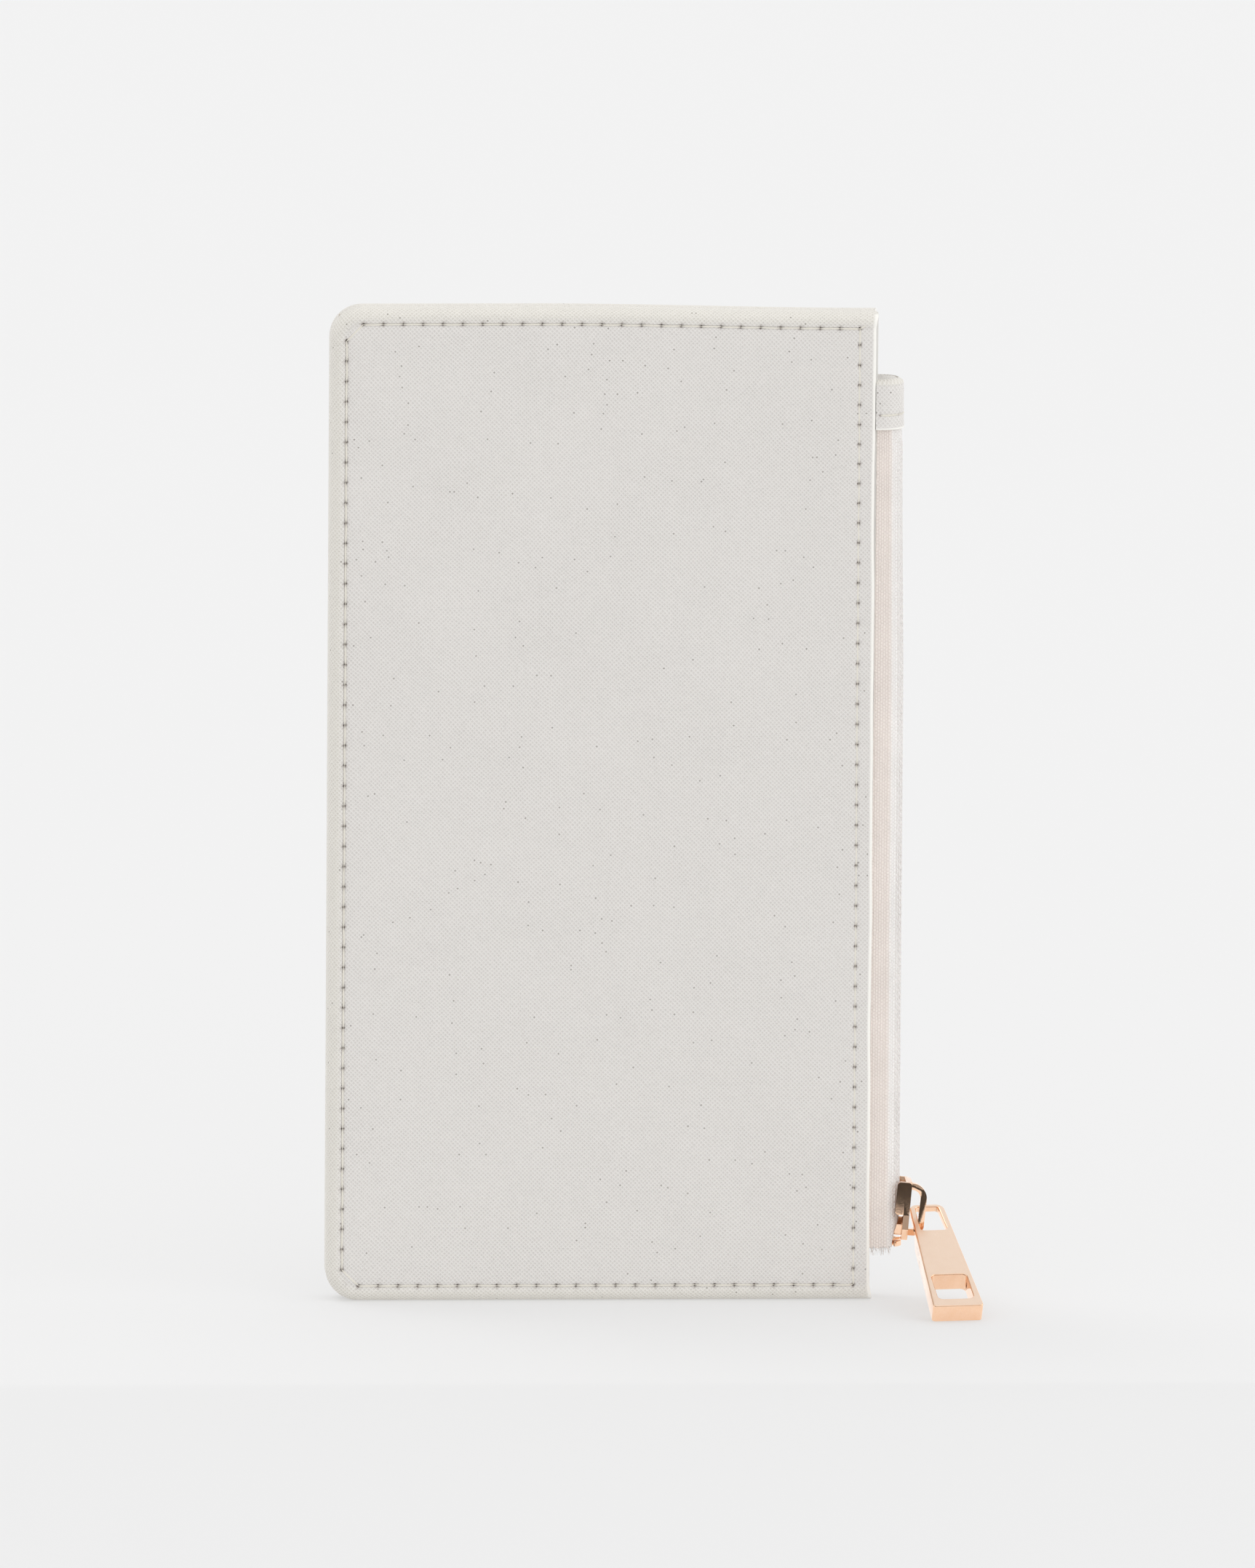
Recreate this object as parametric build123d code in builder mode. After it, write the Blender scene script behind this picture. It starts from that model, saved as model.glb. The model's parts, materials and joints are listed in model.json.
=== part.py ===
from build123d import *
from math import cos, radians, sin
import os

os.makedirs("parts", exist_ok=True)

# A slim zip pouch that stands on its short bottom edge. +X runs across the pouch to its zip,
# +Y to its rear and +Z up. The origin is the middle of the bottom edge, on the floor.
# All sizes are in millimetres.

# the pouch
panel_width = 90.0
panel_height = 166.3
panel_depth = 4.1  # from the middle of the seam to the outer face
corner_radius = 5.4  # the two corners away from the zip; the others are square
edge_radius = 2.4  # how the turned edges roll over
hem_width = 5.0  # the leatherette turned in along the three closed edges
skin_thickness = 0.9
middle_thickness = 0.6  # the board, and the zip tape sewn in beside it
lining_thickness = 0.3
least_corner = 0.4  # the smallest corner radius left when the outline is moved in
lining_edge_inset = 1.5  # from the panel's edge to the edge of the lining in the seam
board_clearance = 0.5

# the stitching
stitch_inset = 2.65
stitch_pitch = 3.33
stitch_length = 2.6
corner_stitch_length = 1.5  # short enough to lie in the curved groove
thread_width = 0.4
thread_height = 0.25
groove_width = 0.6
groove_depth = 0.3

# the zip: its two tapes leave the panels and close over each other in half an ellipse
zip_centre_x = panel_width / 2 + 1.0
tape_overlap = 7.8  # how far the tape goes in behind the panel's edge
tape_reach = 4.3  # from the ellipse's centre out to the face of the closed zip
tape_bottom = 8.6
tape_top = 153.4
closed_angle = 358  # where the front tape's edge lies on the ellipse, in degrees
parted_angle = 330
parting_top = 15.2  # above this the zip is closed
parting_bottom = 13.6  # below this its two sides stand apart, round the slider's post
coil_bottom = 9.9
coil_top = 147.4
cord_radius = 0.25
coil_thread_height = 0.15
coil_thread_angles = (325, 345)
stop_bottom = 8.8
stop_height = 0.95
stop_proud = 0.5  # how far the stop stands out of the tape's face
stop_grip = 1.4  # how far it reaches in behind that face
bottom_stop_x = 2.5  # from the ellipse's centre
bottom_stop_gap = 0.1
bottom_stop_corner = 0.3
stop_angles = (315, 338)
bottom_stop_size = (1.1, 2.6, 2.8)
tab_bottom = 145.0
tab_height = 9.1
tab_thickness = 0.6
tab_stitch_height = 2.4  # above the tab's lower edge
tab_stitch_count = 9
tab_stitch_from = 278  # degrees round the ellipse
tab_stitch_span = 164
tab_stitch_angle = 12
tab_stitch_proud = 0.12
tab_back_inset = 0.95  # the folded-in leaf's face, from the ellipse's centre
tab_back_width = 4.4

# the slider, in its own leaning frame
slider_lean = 5.0  # degrees, its top away from the pouch
slider_mid_height = 14.8
slider_clearance = 0.4  # from the zip's face to the top plate
plate_thickness = 1.0
channel_depth = 3.5
base_thickness = 0.8
base_half_width = 2.0
half_length = 4.9
flange_outer = 3.1
flange_inner = 2.5
flange_depth = 1.4
flange_bottom = -0.6
crown_half_width = 0.75
plate_waist = (3.5, -3.0)  # the plate's widest point, half width and height
plate_tail = 3.1  # the plate's half width at its lower end
plate_corner = 1.1
flange_corner = 0.6
base_corner = 1.0
post_height = -2.8
post_outline = [(0, 1.6), (0.9, 0.2), (0.7, -1.6), (-0.7, -1.6), (-0.9, 0.2)]
post_corner = 0.2
# the crown and its window, as distances out from the plate and along the slider, upper end first
crown_outline = [(0.5, 4.4), (3.85, 4.4), (3.7, -4.3), (0.5, -4.3)]
crown_corners = (2.5, 1.7)  # the radii of its upper and lower outer corners
window_outline = [(1.0, 3.35), (2.8, 3.35), (2.65, -3.25), (1.0, -3.25)]
window_corners = (1.45, 0.7)

# the pull, which lies forward with its tip on the floor
pull_steepness = 66.0  # degrees from straight down, towards the front
pull_turn = 8.4  # degrees, its tip away from the pouch
pull_thickness = 3.0
bar_thickness = 1.0
bar_width = 0.95
pull_length = 30.0
eye_reach = 3.1  # from the hinge point back to the pull's upper end
eye_length = 6.8
top_bar_width = 0.7
pull_half_width_top = 2.85
pull_half_width_tip = 4.25
hole_width = 6.0
hole_length = 7.1
hole_from_tip = 2.2
pull_edge_radius = 0.22
pull_top_corner = 1.4
pull_tip_corner = 0.6
eye_corner = 0.6
hole_corner = 0.9
hinge_x = 52.6  # the middle of the crown's window
slope_start = 0.6  # how far above the eye's lower end the underside starts to slope
slope_end = 1.8  # and how far below it the slope ends


# ---- the pouch ----

cavity_depth = panel_depth - skin_thickness
seam_x = panel_width / 2 - stitch_inset
groove_inner = stitch_inset + groove_width / 2
pocket_depth = cavity_depth - middle_thickness - lining_thickness


def pouch_outline(inset, right_inset):
    # the pouch's outline, moved in by inset on its three closed sides
    width = panel_width - inset - right_inset
    with BuildSketch() as outline:
        with Locations(((inset - right_inset) / 2, panel_height / 2)):
            Rectangle(width, panel_height - 2 * inset)
        fillet(outline.vertices().group_by(Axis.X)[0], max(corner_radius - inset, least_corner))
    return outline.sketch


with BuildPart() as front_panel:
    with BuildSketch(Plane.XZ):
        add(pouch_outline(0, 0))
    extrude(amount=panel_depth)
    rim = faces().sort_by(Axis.Y)[0].edges()
    fillet(rim.filter_by(lambda e: e.center().X < seam_x), edge_radius)
    with BuildSketch(Plane.XZ):
        add(pouch_outline(hem_width, 0))
    extrude(amount=cavity_depth, mode=Mode.SUBTRACT)
    with BuildSketch(Plane.XZ):
        add(pouch_outline(lining_edge_inset, 0))
    extrude(amount=lining_thickness, mode=Mode.SUBTRACT)
    with BuildSketch(Plane.XZ.offset(panel_depth - groove_depth)):
        add(pouch_outline(stitch_inset - groove_width / 2, stitch_inset - groove_width / 2))
        add(pouch_outline(groove_inner, groove_inner), mode=Mode.SUBTRACT)
    extrude(amount=groove_depth, mode=Mode.SUBTRACT)

with BuildPart() as front_stiffener:
    board_right = tape_overlap + board_clearance
    with BuildSketch(Plane.XZ.offset(cavity_depth - middle_thickness)):
        add(pouch_outline(hem_width + board_clearance, board_right))
    extrude(amount=middle_thickness)

with BuildPart() as front_lining:
    with BuildSketch(Plane.XZ):
        add(pouch_outline(lining_edge_inset, 0))
    extrude(amount=lining_thickness)
    with BuildSketch(Plane.XZ):
        add(pouch_outline(hem_width, 0))
    extrude(amount=pocket_depth + lining_thickness)
    with BuildSketch(Plane.XZ):
        add(pouch_outline(hem_width + lining_thickness, 0))
    extrude(amount=pocket_depth, mode=Mode.SUBTRACT)

# ---- the stitching ----

side_count = round((panel_height - 2 * corner_radius) / stitch_pitch)
row_length = seam_x + panel_width / 2 - corner_radius
row_count = round(row_length / stitch_pitch)
side_pitch = (panel_height - 2 * corner_radius) / side_count
thread_plane = Plane.XZ.offset(panel_depth - groove_depth)
middle_height = panel_height / 2

with BuildPart() as perimeter_needle_thread:
    with BuildSketch(thread_plane):
        with Locations((-seam_x, middle_height)):
            with GridLocations(0, side_pitch, 1, side_count):
                SlotOverall(stitch_length, thread_width, rotation=90)
        with Locations((seam_x - row_length / 2, middle_height)):
            with GridLocations(row_length / row_count, panel_height - 2 * stitch_inset, row_count, 2):
                SlotOverall(stitch_length, thread_width)
        corner_reach = corner_radius - (corner_radius - stitch_inset) * cos(radians(45))
        for end in (-1, 1):
            corner_z = middle_height + end * (middle_height - corner_reach)
            with Locations((corner_reach - panel_width / 2, corner_z)):
                SlotOverall(corner_stitch_length, thread_width, rotation=45 * end)
    extrude(amount=thread_height)

with BuildPart() as zip_seam_thread_front:
    with BuildSketch(thread_plane):
        with Locations((seam_x, middle_height)):
            with GridLocations(0, side_pitch, 1, side_count):
                SlotOverall(stitch_length, thread_width, rotation=90)
    extrude(amount=thread_height)

# ---- the zip ----


def zip_band(outer, inner, angles):
    # a strip that follows the zip's curve, between two distances from the tape's outer face
    with BuildSketch() as band:
        with BuildLine():
            arcs = [
                EllipticalCenterArc(
                    (zip_centre_x, 0),
                    tape_reach + gap,
                    cavity_depth + gap,
                    start_angle=angles[0],
                    arc_size=angles[1] - angles[0],
                )
                for gap in (outer, inner)
            ]
            Line(arcs[0] @ 0, arcs[1] @ 0)
            Line(arcs[0] @ 1, arcs[1] @ 1)
        make_face()
    return band.sketch


def tape_section(end_angle):
    # the front tape cut across, from its edge behind the panel to its edge at the coil
    with BuildSketch() as section:
        add(zip_band(0, -middle_thickness, (270, end_angle)))
        with Locations(((zip_centre_x + panel_width / 2 - tape_overlap) / 2, -cavity_depth)):
            Rectangle(
                zip_centre_x - panel_width / 2 + tape_overlap,
                middle_thickness,
                align=(Align.CENTER, Align.MIN),
            )
    return section.sketch


with BuildPart() as zip_tape_front:
    for height, angle in ((parting_top, closed_angle), (parting_bottom, parted_angle)):
        with BuildSketch(Plane.XY.offset(height)):
            add(tape_section(angle))
    loft(ruled=True)
    extrude(faces().sort_by(Axis.Z)[-1], amount=tape_top - parting_top)
    extrude(faces().sort_by(Axis.Z)[0], amount=parting_bottom - tape_bottom)

# the coil's outline, from the ellipse's centre: closed in the chain, and parted below it
closed_coil = [(3.55, -0.08), (2.5, -1.85), (1.75, -1.3), (1.95, -0.08)]
parted_coil = [(3.0, -1.2), (1.9, -2.1), (1.25, -1.55), (1.7, -1.15)]
closed_cord = (2.5, -0.8)
parted_cord = (1.95, -1.5)
coil_levels = (
    (parting_top, closed_coil, closed_cord),
    (parting_bottom, parted_coil, parted_cord),
)

with BuildPart() as coil_cord_front:
    for height, outline, centre in coil_levels:
        with BuildSketch(Plane.XY.offset(height)):
            with Locations((zip_centre_x + centre[0], centre[1])):
                Circle(cord_radius)
    loft(ruled=True)
    extrude(faces().sort_by(Axis.Z)[-1], amount=coil_top - parting_top)
    extrude(faces().sort_by(Axis.Z)[0], amount=parting_bottom - coil_bottom)

with BuildPart() as zip_coil_front:
    for height, outline, centre in coil_levels:
        with BuildSketch(Plane.XY.offset(height)):
            with Locations((zip_centre_x, 0)):
                Polygon(*outline, align=None)
    loft(ruled=True)
    extrude(faces().sort_by(Axis.Z)[-1], amount=coil_top - parting_top)
    extrude(faces().sort_by(Axis.Z)[0], amount=parting_bottom - coil_bottom)
    add(coil_cord_front.part, mode=Mode.SUBTRACT)

with BuildPart() as coil_thread_front:
    with BuildSketch(Plane.XY.offset(parting_top)):
        add(zip_band(coil_thread_height, 0, coil_thread_angles))
    extrude(amount=tab_bottom - parting_top)

with BuildPart() as top_stop_front:
    with BuildSketch(Plane.XY.offset(stop_bottom)):
        add(zip_band(stop_proud, -stop_grip, stop_angles))
        add(tape_section(parted_angle), mode=Mode.SUBTRACT)
    extrude(amount=stop_height)

with BuildPart() as bottom_stop:
    with BuildSketch(Plane.XY.offset(coil_top + bottom_stop_gap)):
        with Locations((zip_centre_x + bottom_stop_x, 0)):
            RectangleRounded(bottom_stop_size[0], bottom_stop_size[1], bottom_stop_corner)
    extrude(amount=bottom_stop_size[2])

# the leatherette tab folds over the zip's end, outside the tapes and back inside the coils
tab_back_x = zip_centre_x + tab_back_inset

with BuildPart() as zip_end_tab:
    with BuildSketch(Plane.XY.offset(tab_bottom)):
        add(zip_band(tab_thickness, 0, (270, 450)))
        with Locations((tab_back_x, 0)):
            Rectangle(tab_thickness, tab_back_width, align=(Align.MIN, Align.CENTER))
    extrude(amount=tab_height)
    with BuildSketch(Plane.XY.offset(tab_bottom + tab_height - tab_thickness)):
        with Locations((zip_centre_x, 0)):
            Ellipse(tape_reach + tab_thickness, cavity_depth + tab_thickness)
        with Locations((tab_back_x, 0)):
            Rectangle(panel_width, panel_width, align=(Align.MAX, Align.CENTER), mode=Mode.SUBTRACT)
    extrude(amount=tab_thickness)
    fillet(faces().sort_by(Axis.Z)[-1].edges().sort_by(Axis.X)[-1], tab_thickness / 2)

with BuildPart() as tab_thread:
    with BuildSketch(Plane.XY.offset(tab_bottom + tab_stitch_height)):
        for stitch in range(tab_stitch_count):
            start = tab_stitch_from + stitch * tab_stitch_span / tab_stitch_count
            stitch_angles = (start, start + tab_stitch_angle)
            add(zip_band(tab_thickness + tab_stitch_proud, tab_thickness, stitch_angles))
    extrude(amount=thread_width)

# ---- the slider ----

lean = radians(slider_lean)
slider_origin = (zip_centre_x + tape_reach + slider_clearance, 0, slider_mid_height)
slider_out = (cos(lean), 0, -sin(lean))
slider_plane = Plane(origin=slider_origin, x_dir=(0, 1, 0), z_dir=slider_out)
slider_side = Plane(origin=slider_origin, x_dir=slider_out, z_dir=(0, -1, 0))

with BuildPart() as slider_body:
    # the top plate, wide at its mouth
    with BuildSketch(slider_plane):
        Polygon(
            (-flange_outer, half_length),
            (-flange_outer, flange_bottom),
            (-plate_waist[0], plate_waist[1]),
            (-plate_tail, -half_length),
            (plate_tail, -half_length),
            plate_waist,
            (flange_outer, flange_bottom),
            (flange_outer, half_length),
            align=None,
        )
        fillet(vertices(), plate_corner)
    extrude(amount=plate_thickness)
    # the flanges that hold the chain between them
    with BuildSketch(slider_side) as flange_profile:
        with Locations(((plate_thickness - flange_depth) / 2, (half_length + flange_bottom) / 2)):
            Rectangle(plate_thickness + flange_depth, half_length - flange_bottom)
        fillet(vertices(), flange_corner)
    extrude(amount=flange_outer, both=True)
    with BuildSketch(slider_plane):
        Rectangle(2 * flange_inner, 4 * half_length)
    extrude(amount=-2 * flange_depth, mode=Mode.SUBTRACT)
    # the inner plate and the post that joins the two
    with BuildSketch(slider_plane.offset(-channel_depth)):
        Rectangle(2 * base_half_width, 2 * half_length)
        fillet(vertices(), base_corner)
    extrude(amount=-base_thickness)
    with BuildSketch(slider_plane.offset(-channel_depth)):
        with Locations((0, post_height)):
            Polygon(*post_outline, align=None)
        fillet(vertices(), post_corner)
    extrude(amount=channel_depth)
    # the crown that carries the pull, with the window that the pull's bar goes through
    crown_shapes = (
        (crown_outline, crown_corners, Mode.ADD),
        (window_outline, window_corners, Mode.SUBTRACT),
    )
    for outline, corners, mode in crown_shapes:
        with BuildSketch(slider_side):
            Polygon(*outline, align=None)
            fillet(vertices().sort_by(Axis.Y)[-2:].sort_by(Axis.X)[-1], corners[0])
            fillet(vertices().sort_by(Axis.Y)[:2].sort_by(Axis.X)[-1], corners[1])
        extrude(amount=crown_half_width, both=True, mode=mode)

# ---- the pull ----

steep = radians(pull_steepness)
turn = radians(pull_turn)
tip_reach = pull_length - eye_reach
underside = pull_thickness - bar_thickness / 2
hinge_height = tip_reach * cos(steep) + underside * sin(steep)
hinge_point = (hinge_x, 0, hinge_height)
pull_across = (cos(turn), sin(turn), 0)
pull_up = (-sin(steep) * sin(turn), sin(steep) * cos(turn), cos(steep))
pull_out = (cos(steep) * sin(turn), -cos(steep) * cos(turn), sin(steep))
pull_plane = Plane(origin=hinge_point, x_dir=pull_across, z_dir=pull_out)
pull_side = Plane(origin=hinge_point, x_dir=pull_up, z_dir=pull_across)


def half_width(reach):
    # the tapering pull's half width, at a height above the hinge point
    share = (eye_reach - reach) / pull_length
    return pull_half_width_top + share * (pull_half_width_tip - pull_half_width_top)


pull_middle = half_width(0) - bar_width / 2
eye_top = eye_reach - top_bar_width
eye_bottom = eye_top - eye_length

with BuildPart() as slider_pull:
    with BuildSketch(pull_plane.offset(-underside)):
        with Locations((pull_middle, 0)):
            Polygon(
                (-half_width(eye_reach), eye_reach),
                (-half_width(-tip_reach), -tip_reach),
                (half_width(-tip_reach), -tip_reach),
                (half_width(eye_reach), eye_reach),
                align=None,
            )
        fillet(vertices().group_by(Axis.Y)[-1], pull_top_corner)
        fillet(vertices().group_by(Axis.Y)[0], pull_tip_corner)
    extrude(amount=pull_thickness)
    # the eye's bars are thinner than the grip, which slopes up to them underneath
    with BuildSketch(pull_side):
        Polygon(
            (2 * eye_reach, -bar_thickness / 2),
            (eye_bottom + slope_start, -bar_thickness / 2),
            (eye_bottom - slope_end, -underside),
            (eye_bottom - slope_end, -pull_thickness),
            (2 * eye_reach, -pull_thickness),
            align=None,
        )
    extrude(amount=3 * pull_half_width_tip, both=True, mode=Mode.SUBTRACT)
    with BuildSketch(pull_plane):
        with Locations((pull_middle, 0)):
            Polygon(
                (bar_width - half_width(eye_top), eye_top),
                (bar_width - half_width(eye_bottom), eye_bottom),
                (half_width(eye_bottom) - bar_width, eye_bottom),
                (half_width(eye_top) - bar_width, eye_top),
                align=None,
            )
        fillet(vertices(), eye_corner)
    extrude(amount=pull_thickness, both=True, mode=Mode.SUBTRACT)
    with BuildSketch(pull_plane):
        with Locations((pull_middle, hole_from_tip - tip_reach + hole_length / 2)):
            RectangleRounded(hole_width, hole_length, hole_corner)
    extrude(amount=pull_thickness, both=True, mode=Mode.SUBTRACT)
    broad_face = faces().sort_by(Axis(hinge_point, pull_out))[-1]
    fillet(broad_face.edges(), pull_edge_radius)

# ---- the rear half, which mirrors the front ----

rear_names = {
    "front_panel": (front_panel, "rear_panel"),
    "front_stiffener": (front_stiffener, "rear_stiffener"),
    "front_lining": (front_lining, "rear_lining"),
    "perimeter_needle_thread": (perimeter_needle_thread, "perimeter_bobbin_thread"),
    "zip_seam_thread_front": (zip_seam_thread_front, "zip_seam_thread_rear"),
    "zip_tape_front": (zip_tape_front, "zip_tape_rear"),
    "zip_coil_front": (zip_coil_front, "zip_coil_rear"),
    "coil_cord_front": (coil_cord_front, "coil_cord_rear"),
    "coil_thread_front": (coil_thread_front, "coil_thread_rear"),
    "top_stop_front": (top_stop_front, "top_stop_rear"),
}
pieces = {
    "bottom_stop": bottom_stop,
    "zip_end_tab": zip_end_tab,
    "tab_thread": tab_thread,
    "slider_body": slider_body,
    "slider_pull": slider_pull,
}
for front_name, (front_piece, rear_name) in rear_names.items():
    with BuildPart() as rear_piece:
        mirror(front_piece.part, about=Plane.XZ)
    pieces[front_name] = front_piece
    pieces[rear_name] = rear_piece

for name, piece in pieces.items():
    piece.part.label = name
    export_step(piece.part, f"parts/{name}.step")

print("hinge point", hinge_point)
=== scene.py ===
import json
import math

import bmesh
import bpy
import numpy as np
from mathutils import Matrix, Vector

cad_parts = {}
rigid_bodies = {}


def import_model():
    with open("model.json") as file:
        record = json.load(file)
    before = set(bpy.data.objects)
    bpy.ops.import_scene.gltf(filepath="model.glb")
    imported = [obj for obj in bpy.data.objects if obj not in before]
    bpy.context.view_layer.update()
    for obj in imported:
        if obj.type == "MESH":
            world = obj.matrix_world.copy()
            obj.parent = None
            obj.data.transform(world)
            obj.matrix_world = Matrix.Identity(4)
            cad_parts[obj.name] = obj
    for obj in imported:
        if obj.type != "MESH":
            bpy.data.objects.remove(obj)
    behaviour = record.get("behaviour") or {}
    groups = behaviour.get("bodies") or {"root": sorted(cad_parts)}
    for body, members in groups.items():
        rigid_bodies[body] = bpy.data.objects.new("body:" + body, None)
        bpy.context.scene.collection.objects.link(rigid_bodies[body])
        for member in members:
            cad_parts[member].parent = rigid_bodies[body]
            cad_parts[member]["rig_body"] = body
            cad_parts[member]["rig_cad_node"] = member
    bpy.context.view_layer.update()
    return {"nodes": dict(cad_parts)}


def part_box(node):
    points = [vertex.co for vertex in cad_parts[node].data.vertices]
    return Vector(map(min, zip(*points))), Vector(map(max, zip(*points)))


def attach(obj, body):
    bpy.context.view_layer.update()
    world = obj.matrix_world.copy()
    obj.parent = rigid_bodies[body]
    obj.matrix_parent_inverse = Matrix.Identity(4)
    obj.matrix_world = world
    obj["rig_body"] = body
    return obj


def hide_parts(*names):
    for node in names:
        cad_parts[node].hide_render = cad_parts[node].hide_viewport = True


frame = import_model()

# A slim zip pouch in off-white cross-grained leatherette, standing on its short edge.
# Sizes in the settings are in millimetres; mm turns them into metres.
mm = 0.001
panelLow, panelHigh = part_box("front_panel")
tapeLow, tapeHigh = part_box("zip_tape_front")
tabLow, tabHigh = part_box("zip_end_tab")
sliderLow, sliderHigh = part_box("slider_body")
panelMiddle = (panelLow + panelHigh) / 2


# ---- small helpers for working by hand ----

def deselectAll():
    for shown in list(bpy.context.selected_objects):
        shown.select_set(False)


def newPiece(name):
    # the primitive just added gets its name and keeps its place in its mesh
    piece = bpy.context.active_object
    piece.name = name
    piece.data.name = name
    deselectAll()
    piece.select_set(True)
    bpy.ops.object.transform_apply(location=True, rotation=True, scale=True)
    return piece


def openEdit(piece):
    deselectAll()
    bpy.context.view_layer.objects.active = piece
    piece.select_set(True)
    bpy.ops.object.mode_set(mode="EDIT")


def closeEdit():
    bpy.ops.object.mode_set(mode="OBJECT")


def pickWhere(piece, kind, test):
    bpy.ops.mesh.select_mode(type=kind)
    bpy.ops.mesh.select_all(action="DESELECT")
    mesh = bmesh.from_edit_mesh(piece.data)
    parts = {"VERT": mesh.verts, "EDGE": mesh.edges, "FACE": mesh.faces}[kind]
    for part in parts:
        if test(part):
            part.select_set(True)
    mesh.select_flush_mode()
    bmesh.update_edit_mesh(piece.data)


def middleOf(edge):
    return (edge.verts[0].co + edge.verts[1].co) / 2


def readPoints(piece):
    points = np.empty(len(piece.data.vertices) * 3)
    piece.data.vertices.foreach_get("co", points)
    return points.reshape(-1, 3)


def writePoints(piece, points):
    piece.data.vertices.foreach_set("co", np.ascontiguousarray(points).ravel())
    piece.data.update()


def finishWith(piece, kind, **settings):
    modifier = piece.modifiers.new(kind.title(), kind)
    for name, value in settings.items():
        setattr(modifier, name, value)
    deselectAll()
    bpy.context.view_layer.objects.active = piece
    piece.select_set(True)
    bpy.ops.object.modifier_apply(modifier=modifier.name)


def faceOutward(piece):
    openEdit(piece)
    bpy.ops.mesh.select_all(action="SELECT")
    bpy.ops.mesh.normals_make_consistent(inside=False)
    closeEdit()


def shadeSmooth(piece, degrees=40):
    deselectAll()
    bpy.context.view_layer.objects.active = piece
    piece.select_set(True)
    bpy.ops.object.shade_smooth_by_angle(angle=math.radians(degrees))


def storeValue(piece, name, values):
    attribute = piece.data.attributes.get(name) or piece.data.attributes.new(name, "FLOAT", "POINT")
    attribute.data.foreach_set("value", np.asarray(values, dtype=np.float32))


def layMap(piece, across, along):
    # the piece's flat pattern in tenths of a metre, so the grain and the weave never stretch
    corners = np.empty(len(piece.data.loops), dtype=np.int32)
    piece.data.loops.foreach_get("vertex_index", corners)
    flat = piece.data.uv_layers.get("cutPattern") or piece.data.uv_layers.new(name="cutPattern")
    places = np.stack([across[corners], along[corners]], axis=1) * 10
    flat.data.foreach_set("uv", places.ravel())


def copyPiece(piece, name):
    twin = piece.copy()
    twin.data = piece.data.copy()
    twin.name = name
    twin.data.name = name
    bpy.context.scene.collection.objects.link(twin)
    return twin


def mirrorToRear(piece, name):
    # the pouch's rear half mirrors its front half
    twin = copyPiece(piece, name)
    writePoints(twin, readPoints(twin) * np.array([1, -1, 1]))
    openEdit(twin)
    bpy.ops.mesh.select_all(action="SELECT")
    bpy.ops.mesh.flip_normals()
    closeEdit()
    return twin


def joinPieces(pieces, name):
    deselectAll()
    for piece in pieces:
        piece.select_set(True)
    bpy.context.view_layer.objects.active = pieces[0]
    bpy.ops.object.join()
    joined = bpy.context.active_object
    joined.name = name
    joined.data.name = name
    return joined


def layCopies(model, places, name):
    # one shape, modelled once, copied to each (3 x 3 turn, place) and made one piece
    base = readPoints(model)
    copies = []
    for number, (turn, place) in enumerate(places):
        twin = copyPiece(model, f"{name}{number}")
        writePoints(twin, base @ np.asarray(turn).T + np.asarray(place))
        copies.append(twin)
    bpy.data.objects.remove(model)
    return joinPieces(copies, name)


def softStep(values, start, end):
    share = np.clip((values - start) / (end - start), 0, 1)
    return share * share * (3 - 2 * share)


waveLook = {"count": 9, "shortest": 0.022, "longest": 0.09, "share": 0.25}


def gentleWaves(across, along, seed):
    # the slow unevenness of a hand-made surface, between about -1 and 1
    dice = np.random.default_rng(seed)
    total = np.zeros_like(across)
    for unused in range(waveLook["count"]):
        angle = dice.uniform(0, 2 * math.pi)
        length = dice.uniform(waveLook["shortest"], waveLook["longest"])
        reach = (across * math.cos(angle) + along * math.sin(angle)) / length
        total += np.sin(2 * math.pi * reach + dice.uniform(0, 6.28)) * waveLook["share"]
    return total


# ---- the camera ----

cameraLook = {
    "fromFront": -3.0,  # degrees round to the pouch's closed side
    "height": 9.5,  # degrees above level
    "distance": 7000,
    "lens": 1216.0,
    "roll": 0.37,
    "aimRight": 4.42,  # the picture's centre from the panel's middle
    "aimUp": 3.68,
}


def setCamera():
    turn = math.radians(cameraLook["fromFront"])
    rise = math.radians(cameraLook["height"])
    away = Vector((math.sin(turn) * math.cos(rise), -math.cos(turn) * math.cos(rise), math.sin(rise)))
    right = Vector((math.cos(turn), math.sin(turn), 0))
    up = right.cross(-away)
    aim = Vector((panelMiddle.x, panelLow.y, panelMiddle.z))
    aim += right * cameraLook["aimRight"] * mm + up * cameraLook["aimUp"] * mm
    place = aim + away * cameraLook["distance"] * mm
    data = bpy.data.cameras.new("camera")
    data.lens = cameraLook["lens"]
    data.sensor_width = 36
    data.sensor_fit = "HORIZONTAL"
    data.clip_end = 20
    camera = bpy.data.objects.new("camera", data)
    bpy.context.scene.collection.objects.link(camera)
    camera.location = place
    facing = (aim - place).to_track_quat("-Z", "Y").to_matrix().to_4x4()
    tilt = facing @ Matrix.Rotation(math.radians(cameraLook["roll"]), 4, "Z")
    camera.rotation_euler = tilt.to_euler()
    bpy.context.scene.camera = camera


setCamera()
print("camera set")


# ---- node helpers ----

def addNode(tree, kind, **settings):
    node = tree.nodes.new(kind)
    for name, value in settings.items():
        setattr(node, name, value)
    return node


def feed(tree, socket, source):
    if isinstance(source, bpy.types.NodeSocket):
        tree.links.new(source, socket)
    elif source is not None:
        socket.default_value = source


def sumUp(tree, operation, first, second=None, third=None):
    node = addNode(tree, "ShaderNodeMath", operation=operation)
    for socket, source in zip(node.inputs, (first, second, third)):
        feed(tree, socket, source)
    return node.outputs[0]


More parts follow.
